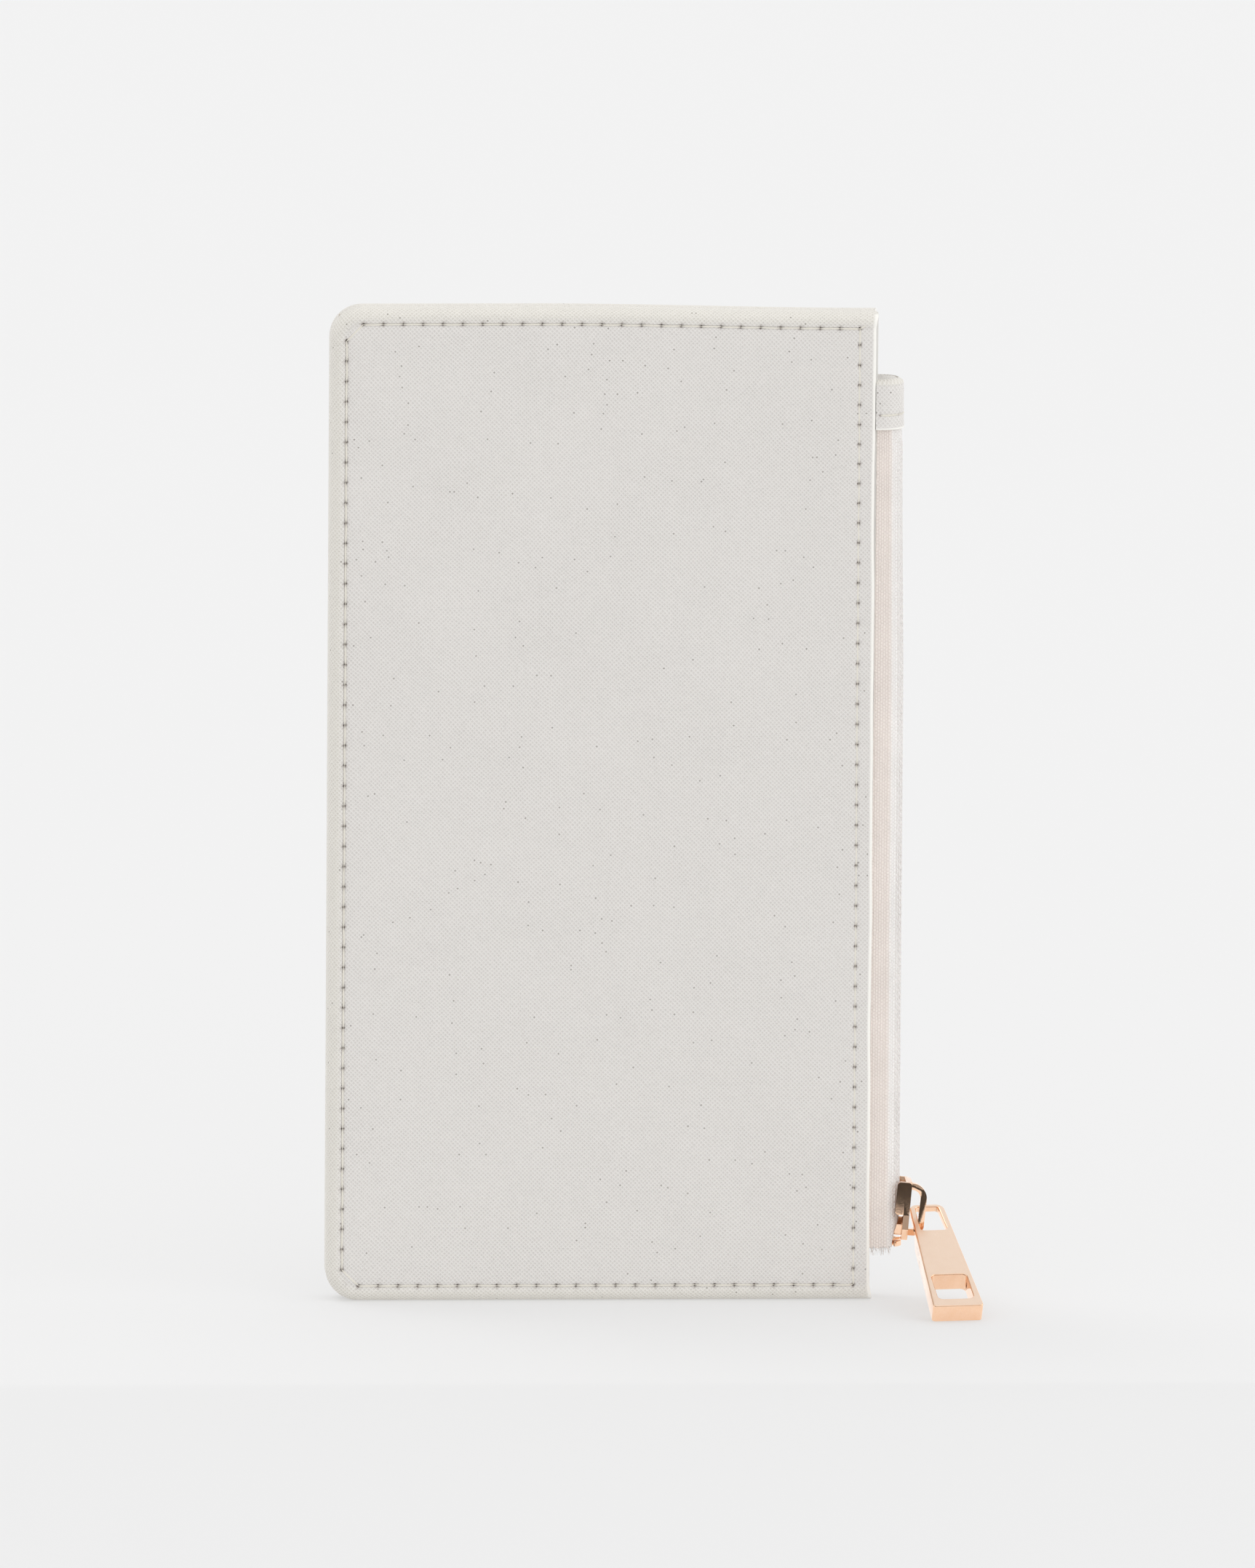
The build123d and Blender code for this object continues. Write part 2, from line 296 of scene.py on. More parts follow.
def blendColours(tree, share, first, second, way="MIX"):
    node = addNode(tree, "ShaderNodeMix", data_type="RGBA", blend_type=way)
    feed(tree, node.inputs[0], share)
    feed(tree, node.inputs[6], first)
    feed(tree, node.inputs[7], second)
    return node.outputs[2]


def rescale(tree, value, low, high, newLow, newHigh):
    node = addNode(tree, "ShaderNodeMapRange")
    for socket, source in zip(node.inputs, (value, low, high, newLow, newHigh)):
        feed(tree, socket, source)
    return node.outputs[0]


def noiseOf(tree, coordinates, scale, detail=2.0, rough=0.5):
    node = addNode(tree, "ShaderNodeTexNoise")
    feed(tree, node.inputs["Vector"], coordinates)
    node.inputs["Scale"].default_value = scale
    node.inputs["Detail"].default_value = detail
    node.inputs["Roughness"].default_value = rough
    return node.outputs["Fac"]


def unevenness(tree, coordinates, scale, detail, low, high):
    # a soft noise spread between two values
    return rescale(tree, noiseOf(tree, coordinates, scale, detail), 0.3, 0.7, low, high)


def scaleVector(tree, vector, amount):
    node = addNode(tree, "ShaderNodeVectorMath", operation="SCALE")
    feed(tree, node.inputs[0], vector)
    node.inputs["Scale"].default_value = amount
    return node.outputs[0]


def splitVector(tree, vector):
    node = addNode(tree, "ShaderNodeSeparateXYZ")
    feed(tree, node.inputs[0], vector)
    return node.outputs


def joinVector(tree, x, y, z):
    node = addNode(tree, "ShaderNodeCombineXYZ")
    for socket, source in zip(node.inputs, (x, y, z)):
        feed(tree, socket, source)
    return node.outputs[0]


def newGroup(name, inputs, outputs):
    group = bpy.data.node_groups.new(name, "ShaderNodeTree")
    for label, kind, value in inputs:
        socket = group.interface.new_socket(name=label, in_out="INPUT", socket_type=kind)
        if value is not None:
            socket.default_value = value
    for label, kind in outputs:
        group.interface.new_socket(name=label, in_out="OUTPUT", socket_type=kind)
    return group, addNode(group, "NodeGroupInput"), addNode(group, "NodeGroupOutput")


def placeGroup(tree, group, **values):
    node = addNode(tree, "ShaderNodeGroup", node_tree=group)
    for label, source in values.items():
        feed(tree, node.inputs[label], source)
    return node


def newMaterial(name, **values):
    material = bpy.data.materials.new(name)
    material.use_nodes = True
    tree = material.node_tree
    shader = tree.nodes["Principled BSDF"]
    for label, value in values.items():
        shader.inputs[label.replace("_", " ")].default_value = value
    return material, tree, shader


def patternMap(tree):
    # millimetres across and along the piece's flat pattern
    node = addNode(tree, "ShaderNodeUVMap", uv_map="cutPattern")
    return scaleVector(tree, node.outputs[0], 100)


def objectMap(tree):
    # millimetres from the pouch's foot
    node = addNode(tree, "ShaderNodeTexCoord")
    return scaleVector(tree, node.outputs["Object"], 1000)


def bumpInto(tree, shader, height, distance, strength=1.0):
    bump = addNode(tree, "ShaderNodeBump")
    bump.inputs["Strength"].default_value = strength
    bump.inputs["Distance"].default_value = distance
    feed(tree, bump.inputs["Height"], height)
    tree.links.new(bump.outputs[0], shader.inputs["Normal"])


def useMaterial(piece, material):
    piece.data.materials.clear()
    piece.data.materials.append(material)


# ---- shared effects ----

def makeCrossGrain():
    # two families of fine embossed lines crossing on the diagonal, with a pit in each diamond
    group, start, end = newGroup(
        "crossGrain",
        [("Map", "NodeSocketVector", None), ("Spacing", "NodeSocketFloat", 0.5),
         ("Specks", "NodeSocketFloat", 0.985)],
        [("Height", "NodeSocketFloat"), ("Pits", "NodeSocketFloat"), ("Speck", "NodeSocketFloat")],
    )
    place = start.outputs["Map"]
    across, along, unused = splitVector(group, place)
    runs, ridges = [], []
    for way, shift, size in (("ADD", 1.0, 0.12), ("SUBTRACT", 1.13, 0.1)):
        drift = unevenness(group, scaleVector(group, place, shift), size, 2.0, -0.22, 0.22)
        diagonal = sumUp(group, "MULTIPLY", sumUp(group, way, across, along), math.sqrt(0.5))
        run = sumUp(group, "DIVIDE", sumUp(group, "ADD", diagonal, drift), start.outputs["Spacing"])
        wave = sumUp(group, "COSINE", sumUp(group, "MULTIPLY", run, 2 * math.pi))
        runs.append(run)
        ridges.append(sumUp(group, "MULTIPLY_ADD", wave, 0.5, 0.5))
    ridge = sumUp(group, "MAXIMUM", ridges[0], ridges[1])
    cell = joinVector(group, sumUp(group, "FLOOR", runs[0]), sumUp(group, "FLOOR", runs[1]), 0.0)
    chance = addNode(group, "ShaderNodeTexWhiteNoise", noise_dimensions="2D")
    feed(group, chance.inputs["Vector"], cell)
    luck = chance.outputs["Value"]
    pit = sumUp(group, "SUBTRACT", 1.0, ridge)
    pit = sumUp(group, "MULTIPLY", pit, rescale(group, luck, 0.0, 1.0, 0.86, 1.08))
    patchy = unevenness(group, place, 0.06, 2.0, 0.92, 1.06)
    pit = sumUp(group, "MULTIPLY", pit, patchy)
    fine = rescale(group, noiseOf(group, place, 5.0, 2.0, 0.6), 0.25, 0.75, -0.10, 0.10)
    height = sumUp(group, "ADD", sumUp(group, "SUBTRACT", 1.0, pit), fine)
    rare = sumUp(group, "GREATER_THAN", luck, start.outputs["Specks"])
    centred = rescale(group, ridge, 0.42, 0.12, 0.0, 1.0)
    speck = sumUp(group, "MULTIPLY", rare, centred)
    feed(group, end.inputs["Height"], sumUp(group, "SUBTRACT", height, speck))
    feed(group, end.inputs["Pits"], pit)
    feed(group, end.inputs["Speck"], speck)
    return group


def makeRibWeave():
    # warp ribs along the tape, crossed by finer weft rows
    group, start, end = newGroup(
        "ribWeave",
        [("Map", "NodeSocketVector", None), ("Rib", "NodeSocketFloat", 0.42),
         ("Row", "NodeSocketFloat", 0.58)],
        [("Height", "NodeSocketFloat"), ("Gaps", "NodeSocketFloat")],
    )
    place = start.outputs["Map"]
    across, along, unused = splitVector(group, place)
    wobble = unevenness(group, place, 0.8, 2.0, -0.05, 0.05)
    rib = sumUp(group, "DIVIDE", sumUp(group, "ADD", across, wobble), start.outputs["Rib"])
    row = sumUp(group, "DIVIDE", sumUp(group, "ADD", along, wobble), start.outputs["Row"])
    shifted = sumUp(group, "ADD", row, sumUp(group, "MULTIPLY", sumUp(group, "FLOOR", rib), 0.5))
    ribWave = sumUp(group, "ABSOLUTE", sumUp(group, "SINE", sumUp(group, "MULTIPLY", rib, math.pi)))
    rowWave = sumUp(group, "ABSOLUTE", sumUp(group, "SINE", sumUp(group, "MULTIPLY", shifted, math.pi)))
    roundRib = sumUp(group, "POWER", ribWave, 0.6)
    weave = sumUp(group, "MULTIPLY", roundRib, sumUp(group, "POWER", rowWave, 0.5))
    fuzz = rescale(group, noiseOf(group, place, 9.0, 3.0, 0.7), 0.25, 0.75, -0.15, 0.15)
    feed(group, end.inputs["Height"], sumUp(group, "ADD", weave, fuzz))
    feed(group, end.inputs["Gaps"], sumUp(group, "SUBTRACT", 1.0, weave))
    return group


def makeFineTooth():
    # the slight tooth of a cast and tumbled surface, with faint rubbing marks
    group, start, end = newGroup(
        "fineTooth",
        [("Map", "NodeSocketVector", None), ("Grain", "NodeSocketFloat", 9.0)],
        [("Height", "NodeSocketFloat"), ("Rubbing", "NodeSocketFloat")],
    )
    place = start.outputs["Map"]
    node = addNode(group, "ShaderNodeTexNoise")
    feed(group, node.inputs["Vector"], place)
    feed(group, node.inputs["Scale"], start.outputs["Grain"])
    node.inputs["Detail"].default_value = 3.0
    slow = noiseOf(group, place, 0.6, 3.0)
    across, along, deep = splitVector(group, place)
    narrow = sumUp(group, "MULTIPLY", across, 5.0)
    streaks = joinVector(group, narrow, sumUp(group, "MULTIPLY", along, 0.6), deep)
    fineLines = noiseOf(group, streaks, 3.0, 2.0)
    height = sumUp(group, "ADD", node.outputs["Fac"], sumUp(group, "MULTIPLY", slow, 1.5))
    feed(group, end.inputs["Height"], height)
    feed(group, end.inputs["Rubbing"], sumUp(group, "MULTIPLY", sumUp(group, "ADD", slow, fineLines), 0.5))
    return group


crossGrain = makeCrossGrain()
ribWeave = makeRibWeave()
fineTooth = makeFineTooth()


# ---- the leatherette ----

leatherLook = {
    "colour": (0.745, 0.717, 0.690, 1),
    "lighter": (0.756, 0.728, 0.700, 1),  # here and there across the face
    "paler": (0.775, 0.745, 0.685, 1),  # where the skin turns over an edge
    # the cut edge's cream colour, lightened further as a painted highlight of the light from the right
    "cut": (0.90, 0.885, 0.84, 1),  # the cut edge beside the zip
    # painted shade, darker in the pits of the grain
    "pit": (0.44, 0.41, 0.37, 1),
    # painted highlight, lighter on the crests of the grain
    "crestHighlight": (0.88, 0.865, 0.84, 1),
    "speck": (0.22, 0.18, 0.14, 1),
    # painted shade, dark in the needle holes
    "hole": (0.085, 0.034, 0.018, 1),
    "spacing": 0.50,
    "grainDepth": 0.09,
    "specks": 0.994,  # the share of diamonds with nothing in them
    "crestHighlightShare": 0.35,
    "pitShadeShare": 0.22,
    "speckShare": 0.5,
}


def makeLeather():
    look = leatherLook
    material, tree, shader = newMaterial("leatherette", Roughness=0.5)
    shader.inputs["Specular IOR Level"].default_value = 0.35
    place = patternMap(tree)
    grain = placeGroup(tree, crossGrain, Map=place, Spacing=look["spacing"], Specks=look["specks"])
    mottle = unevenness(tree, place, 0.05, 4.0, 0.0, 1.0)
    colour = blendColours(tree, mottle, look["colour"], look["lighter"])
    turned = addNode(tree, "ShaderNodeAttribute", attribute_name="turnedEdge")
    colour = blendColours(tree, turned.outputs["Fac"], colour, look["paler"])
    # the cut edge: its own cream colour with a painted highlight
    cut = addNode(tree, "ShaderNodeAttribute", attribute_name="cutEdge")
    colour = blendColours(tree, cut.outputs["Fac"], colour, look["cut"])
    # the embossing stops at the cut edge beside the zip
    embossed = sumUp(tree, "SUBTRACT", 1.0, cut.outputs["Fac"])
    # painted highlight on the grain's crests
    crestHighlights = rescale(tree, grain.outputs["Pits"], 0.22, 0.0, 0.0, look["crestHighlightShare"])
    colour = blendColours(tree, sumUp(tree, "MULTIPLY", crestHighlights, embossed), colour, look["crestHighlight"])
    # painted shade in the grain's pits
    pitShade = rescale(tree, grain.outputs["Pits"], 0.25, 1.1, 0.0, look["pitShadeShare"])
    colour = blendColours(tree, sumUp(tree, "MULTIPLY", pitShade, embossed), colour, look["pit"])
    specks = sumUp(tree, "MULTIPLY", grain.outputs["Speck"], look["speckShare"])
    colour = blendColours(tree, sumUp(tree, "MULTIPLY", specks, embossed), colour, look["speck"])
    # painted shade in and around each needle hole
    hole = addNode(tree, "ShaderNodeAttribute", attribute_name="needleHoleShade")
    colour = blendColours(tree, hole.outputs["Fac"], colour, look["hole"])
    tree.links.new(colour, shader.inputs["Base Color"])
    feed(tree, shader.inputs["Roughness"], rescale(tree, grain.outputs["Pits"], 0.0, 1.0, 0.44, 0.66))
    height = sumUp(tree, "MULTIPLY", grain.outputs["Height"], embossed)
    bumpInto(tree, shader, height, look["grainDepth"] * mm, 1.0)
    return material


leather = makeLeather()

threadLook = {"colour": (0.86, 0.83, 0.75, 1), "shade": (0.74, 0.69, 0.60, 1)}


def makeThread():
    material, tree, shader = newMaterial("sewingThread", Roughness=0.55)
    shader.inputs["Sheen Weight"].default_value = 0.2
    place = objectMap(tree)
    across, deep, along = splitVector(tree, place)
    twist = sumUp(tree, "ADD", sumUp(tree, "ADD", across, along), sumUp(tree, "MULTIPLY", deep, 2.0))
    plies = sumUp(tree, "ABSOLUTE", sumUp(tree, "SINE", sumUp(tree, "MULTIPLY", twist, 14.0)))
    fibres = noiseOf(tree, place, 14.0, 3.0)
    height = sumUp(tree, "ADD", plies, sumUp(tree, "MULTIPLY", fibres, 0.5))
    colour = blendColours(tree, plies, threadLook["shade"], threadLook["colour"])
    tree.links.new(colour, shader.inputs["Base Color"])
    bumpInto(tree, shader, height, 0.03 * mm, 0.8)
    return material


thread = makeThread()

tapeLook = {
    "colour": (0.93, 0.845, 0.79, 1),
    "outerHighlight": (0.98, 0.955, 0.935, 1),  # painted highlight on the outer part of the tape, over the coil, where it turns towards the light
    "highlightFrom": 10.6,  # millimetres from the tape's hidden edge
    "highlightSoft": 0.3,
    # painted shade in the gaps of the weave
    "gap": (0.62, 0.47, 0.40, 1),
    "gapShadeShare": 0.22,
}


def makeTapeCloth():
    material, tree, shader = newMaterial("zipTapeCloth", Roughness=0.75)
    shader.inputs["Sheen Weight"].default_value = 0.35
    place = patternMap(tree)
    weave = placeGroup(tree, ribWeave, Map=place)
    shade = unevenness(tree, place, 0.12, 3.0, 0.96, 1.04)
    across = splitVector(tree, place)[0]
    change, soft = tapeLook["highlightFrom"], tapeLook["highlightSoft"]
    # painted highlight: the tape's outer band is made lighter where it turns towards the light
    highlightShare = rescale(tree, across, change - soft, change + soft, 0.0, 1.0)
    cloth = blendColours(tree, highlightShare, tapeLook["colour"], tapeLook["outerHighlight"])
    # painted shade in the gaps of the weave
    gapShade = sumUp(tree, "MULTIPLY", weave.outputs["Gaps"], tapeLook["gapShadeShare"])
    colour = blendColours(tree, gapShade, cloth, tapeLook["gap"])
    darker = blendColours(tree, 1.0, colour, joinVector(tree, shade, shade, shade), "MULTIPLY")
    tree.links.new(darker, shader.inputs["Base Color"])
    feed(tree, shader.inputs["Roughness"], rescale(tree, weave.outputs["Gaps"], 0.0, 1.0, 0.68, 0.85))
    bumpInto(tree, shader, weave.outputs["Height"], 0.12 * mm, 1.0)
    return material


tapeCloth = makeTapeCloth()


# the gap colour is painted shade in the gaps of the weave
liningLook = {"colour": (0.66, 0.60, 0.53, 1), "gap": (0.36, 0.31, 0.26, 1)}


def makeLiningCloth():
    material, tree, shader = newMaterial("liningCloth", Roughness=0.7)
    place = patternMap(tree)
    weave = placeGroup(tree, ribWeave, Map=place, Rib=0.3, Row=0.3)
    # painted shade in the gaps of the weave
    gapShade = sumUp(tree, "MULTIPLY", weave.outputs["Gaps"], 0.5)
    colour = blendColours(tree, gapShade, liningLook["colour"], liningLook["gap"])
    tree.links.new(colour, shader.inputs["Base Color"])
    feed(tree, shader.inputs["Roughness"], rescale(tree, weave.outputs["Gaps"], 0.0, 1.0, 0.6, 0.8))
    bumpInto(tree, shader, weave.outputs["Height"], 0.04 * mm, 0.7)
    return material


liningCloth = makeLiningCloth()


boardLook = {"dark": (0.42, 0.38, 0.33, 1), "light": (0.56, 0.52, 0.46, 1)}


def makeBoard():
    material, tree, shader = newMaterial("greyBoard", Roughness=0.85)
    place = objectMap(tree)
    pulp = noiseOf(tree, place, 1.6, 5.0, 0.7)
    share = rescale(tree, pulp, 0.3, 0.7, 0.0, 1.0)
    colour = blendColours(tree, share, boardLook["dark"], boardLook["light"])
    tree.links.new(colour, shader.inputs["Base Color"])
    feed(tree, shader.inputs["Roughness"], rescale(tree, pulp, 0.2, 0.8, 0.75, 0.95))
    bumpInto(tree, shader, pulp, 0.05 * mm, 0.6)
    return material


greyBoard = makeBoard()

metalLook = {
    "colour": (0.86, 0.60, 0.43, 1),
    "warm": (0.80, 0.48, 0.29, 1),
    "satin": (0.80, 0.63, 0.505, 1),
    "satinWarm": (0.77, 0.585, 0.45, 1),
}


def makeMetal(name, roughLow, roughHigh, tooth, plain="colour", warm="warm"):
    material, tree, shader = newMaterial(name, Metallic=1.0, Roughness=roughLow)
    place = objectMap(tree)
    surface = placeGroup(tree, fineTooth, Map=place, Grain=7.0)
    share = rescale(tree, surface.outputs["Rubbing"], 0.35, 0.65, 0.0, 0.45)
    colour = blendColours(tree, share, metalLook[plain], metalLook[warm])
    tree.links.new(colour, shader.inputs["Base Color"])
    rough = rescale(tree, surface.outputs["Rubbing"], 0.3, 0.7, roughLow, roughHigh)
    feed(tree, shader.inputs["Roughness"], rough)
    bumpInto(tree, shader, surface.outputs["Height"], tooth * mm, 0.6)
    return material


polishedMetal = makeMetal("polishedRoseGold", 0.03, 0.10, 0.006)
satinMetal = makeMetal("satinRoseGold", 0.26, 0.38, 0.020, "satin", "satinWarm")
coilMetal = makeMetal("metallisedCoil", 0.18, 0.34, 0.020)
print("materials made")


# ---- the panels ----

panelLook = {
    "rollRadius": 2.4,
    "wall": 1.2,  # the straight part of the turned edge
    "hem": 4.8,  # the strip turned in along the seam
    "cavity": 3.1,
    "cornerRadius": 5.4,
    "stitchInset": 2.65,
    "sideStitches": 46,
    "rowStitches": 25,
    "stepsPerStitch": 6,
    "groove": 0.07,
    "grooveWidth": 0.5,
    "hole": 0.55,
    "holeWidth": 0.23,
    "holeShade": 0.25,  # how far the darkness of a hole spreads
    "dimple": 0.07,
    "dimpleWidth": 0.8,
    "waves": 0.10,
    "bulge": 0.16,  # how far the middle stands proud of the border
    "faceDepth": 0.22,
    "cornerPoint": 0.45,  # how far the corners beside the zip stick out
    "cornerSpread": (0.7, 1.6),
    "edgeWander": 0.07,
    "edgeRound": 0.30,
    "droop": 0.85,  # how far the top edge sinks towards the zip
    "cutEdge": 0.5,
}


def foldLine():
    # the panel's profile from its flat face, round the turned edge and back in along the seam
    look = panelLook
    travel, outs, depths = [0.0], [0.0], [0.0]

    def step(out, depth):
        travel.append(travel[-1] + math.hypot(out - outs[-1], depth - depths[-1]))
        outs.append(out)
        depths.append(depth)

    radius = look["rollRadius"]
    for part in range(1, 9):
        angle = math.radians(90 * part / 8)
        step(radius * math.sin(angle), radius * (1 - math.cos(angle)))
    fullDepth = (panelHigh.y - panelLow.y) / mm - 0.04
    step(radius, radius + look["wall"] * 0.55)
    step(radius - 0.03, radius + look["wall"])
    step(radius - 0.12, fullDepth - 0.16)
    step(radius - 0.34, fullDepth)
    step(radius - 0.34 - look["hem"], fullDepth)
    step(radius - 0.34 - look["hem"], fullDepth - look["cavity"])
    return np.array(travel), np.array(outs), np.array(depths)


def needleHoles():
    # where the needle went through, along the three closed sides and beside the zip
    look = panelLook
    left = panelLow.x / mm
    top = panelHigh.z / mm
    inset = look["stitchInset"]
    corner = look["cornerRadius"]
    sidePitch = (top - 2 * corner) / look["sideStitches"]
    seam = panelHigh.x / mm - inset
    rowPitch = (seam - left - corner) / look["rowStitches"]
    side = [(left + inset, corner + sidePitch * k) for k in range(look["sideStitches"] + 1)]
    lower = [(left + corner + rowPitch * k, inset) for k in range(look["rowStitches"] + 1)]
    upper = [(x, top - inset) for x, unused in lower]
    zipRow = [(seam, z) for unused, z in side]
    return side, lower, upper, zipRow


def settle(points):
    # the soft pouch sinks a little at its top towards the zip
    x = points[:, 0] / mm
    z = points[:, 2] / mm
    sink = panelLook["droop"] * softStep(x, -12, 46) * softStep(z, 120, 163)
    moved = points.copy()
    moved[:, 2] -= sink * mm
    return moved


def gathered(start, pitch, stitches):
    # even steps along a row, drawn towards its needle holes, so that the holes come out crisp
    steps = panelLook["stepsPerStitch"]
    phase = np.arange(stitches * steps + 1) / steps
    return start + pitch * (phase - 0.72 / (2 * math.pi) * np.sin(2 * math.pi * phase))


def makePanel():
    # a flat blank, whose lines lie closest where it will roll over and take its stitches
    look = panelLook
    travel, outs, depths = foldLine()
    radius = look["rollRadius"]
    corner = look["cornerRadius"]
    left = panelLow.x / mm
    top = panelHigh.z / mm
    zipEdge = panelHigh.x / mm
    side, lower, upper, zipRow = needleHoles()
    seam = zipRow[0][0]
    border = list(-travel[::-1]) + [0.06, 0.14, 0.21, 0.29, 0.37, 0.47, 0.65, 1.0, 1.7, 2.4]
    rows = gathered(side[0][1], side[1][1] - side[0][1], look["sideStitches"])
    ups = [radius + step for step in border] + list(rows) + [top - radius - step for step in border[::-1]]
    columns = gathered(lower[0][0], lower[1][0] - lower[0][0], look["rowStitches"])
    columns = [x for x in columns if x < seam - 0.6]
    nearZip = [seam + gap for gap in (-0.45, -0.27, -0.17, -0.08, 0, 0.08, 0.17, 0.27, 0.45, 0.8, 1.4, 2.0)]
    atEdge = [zipEdge - gap for gap in (look["cutEdge"], 0.36, 0.24, 0.12, 0.04, 0)]
    acrosses = [left + radius + step for step in border] + columns + nearZip + atEdge
    deselectAll()
    bpy.ops.mesh.primitive_grid_add(
        x_subdivisions=len(acrosses) - 1,
        y_subdivisions=len(ups) - 1,
        size=1,
        location=(0, panelLow.y, 0),
        rotation=(math.pi / 2, 0, 0),
    )
    panel = newPiece("frontPanel")
    points = readPoints(panel)
    column = np.rint((points[:, 0] + 0.5) * (len(acrosses) - 1)).astype(int)
    row = np.rint((points[:, 2] + 0.5) * (len(ups) - 1)).astype(int)
    x = np.array(acrosses)[column]
    z = np.array(ups)[row]
    # the square corners away from the zip are eased round to the corner's radius
    coreX = left + corner
    coreZ = np.clip(z, corner, top - corner)
    awayX, awayZ = coreX - x, np.abs(z - coreZ)
    inCorner = (awayX > 0) & (awayZ > 0)
    reach = np.maximum(awayX, awayZ)
    share = np.minimum(awayX, awayZ) / np.maximum(reach, 1e-9)
    angle = np.where(awayX > awayZ, share, 2 - share) * math.pi / 4
    roundX = coreX - reach * np.cos(angle)
    roundZ = coreZ + np.sign(z - coreZ) * reach * np.sin(angle)
    x = np.where(inCorner, roundX, x)
    z = np.where(inCorner, roundZ, z)
    writePoints(panel, np.stack([x * mm, points[:, 1], z * mm], axis=1))
    return panel, travel, outs, depths


def nearestHole(x, z, holes):
    spots = np.array(holes)
    best = np.full(x.shape, 1e9)
    for spot in spots:
        best = np.minimum(best, (x - spot[0]) ** 2 + (z - spot[1]) ** 2)
    return np.sqrt(best)


def rollEdges(panel, travel, outs, depths):
    look = panelLook
    points = readPoints(panel)
    layMap(panel, points[:, 0], points[:, 2])
    x = points[:, 0] / mm
    z = points[:, 2] / mm
    left = panelLow.x / mm
    top = panelHigh.z / mm
    radius = look["rollRadius"]
    corner = look["cornerRadius"]
    inside = corner - radius
    # each point's nearest place on the line where the skin starts to roll, and the way out from it
    coreX = np.maximum(x, left + corner)
    coreZ = np.clip(z, corner, top - corner)
    awayX, awayZ = x - coreX, z - coreZ
    reach = np.hypot(awayX, awayZ)
    beyond = reach - inside
    unit = np.maximum(reach, 1e-9)
    gone = np.clip(beyond, 0, travel[-1])
    out = np.interp(gone, travel, outs) + inside
    rolled = beyond > 1e-6
    newX = np.where(rolled, coreX + awayX / unit * out, x)
    newZ = np.where(rolled, coreZ + awayZ / unit * out, z)
    depth = np.where(rolled, np.interp(gone, travel, depths), 0.0)
    # the groove that the stitches pull in, and the needle holes in it
    side, lower, upper, zipRow = needleHoles()
    seam = zipRow[0][0]
    line = np.minimum(np.abs(beyond + look["stitchInset"] - radius), 99)
    closed = np.where(rolled & (beyond > 1.2), 99, line)
    zipLine = np.where((z > 3) & (z < top - 3), np.abs(x - seam), 99)
    groove = look["groove"] * np.exp(-((closed / look["grooveWidth"]) ** 2))
    groove = np.maximum(groove, 0.6 * look["groove"] * np.exp(-((zipLine / look["grooveWidth"]) ** 2)))
    away = nearestHole(x, z, side + lower + upper + zipRow)
    onFace = beyond < 1.0
    pit = np.where(onFace, np.exp(-((away / look["holeWidth"]) ** 2)), 0)
    dimple = np.where(onFace, np.exp(-((away / look["dimpleWidth"]) ** 2)), 0)
    border = np.where(beyond < 0, np.exp(np.minimum(beyond, 0) / 1.5), np.clip(1 - beyond, 0, 1))
    waves = look["waves"] * gentleWaves(points[:, 0], points[:, 2], 3)
    calm = softStep(-beyond, 0.2, 14)
    bulge = look["bulge"] * calm
    depth = depth + groove + look["hole"] * pit + look["dimple"] * dimple + 0.10 * border * (groove < 0.5)
    flat = look["faceDepth"] - bulge + waves * calm
    depth = depth + np.where(beyond < 0, flat, 0.12 * np.clip(1 - beyond / 1.2, 0, 1))
    # the edge beside the zip rounds off and is never quite straight
    zipEdge = panelHigh.x / mm
    onSide = (x > zipEdge - look["cutEdge"] - 0.01) & (depth < 1.0)
    overEdge = (x - zipEdge + look["cutEdge"]) / look["cutEdge"]
    depth = depth + np.where(onSide, look["edgeRound"] * overEdge**2, 0)
    spreadX, spreadZ = look["cornerSpread"]
    for cornerZ in (0, top):
        near = np.exp(-(((x - zipEdge) / spreadX) ** 2) - (((z - cornerZ) / spreadZ) ** 2))
        newX = newX + look["cornerPoint"] * near * (depth < 3)
    wander = look["edgeWander"] * gentleWaves(points[:, 2] * 2.2, points[:, 2] * 0, 5)
    newX = newX + np.where(x > zipEdge - 1.2, wander * (depth < 1.2), 0)
    shaped = np.stack([newX * mm, panelLow.y + depth * mm, newZ * mm], axis=1)
    writePoints(panel, settle(shaped))
    turned = np.clip(beyond / 1.4 + 0.3, 0, 1) * (beyond > -0.3)
    storeValue(panel, "turnedEdge", turned)
    # mask for the cut edge's cream colour and its painted highlight
    cut = softStep(x, zipEdge - look["cutEdge"] - 0.06, zipEdge - look["cutEdge"] + 0.08) * (depth < 1.2)
    cut = np.where(x > zipEdge - 0.02, 1, cut)
    storeValue(panel, "cutEdge", cut)
    # painted shade spreading round each needle hole
    dark = np.where(onFace, np.exp(-((away / look["holeShade"]) ** 2) * 1.1), 0)
    storeValue(panel, "needleHoleShade", np.clip(dark * 1.25, 0, 1))


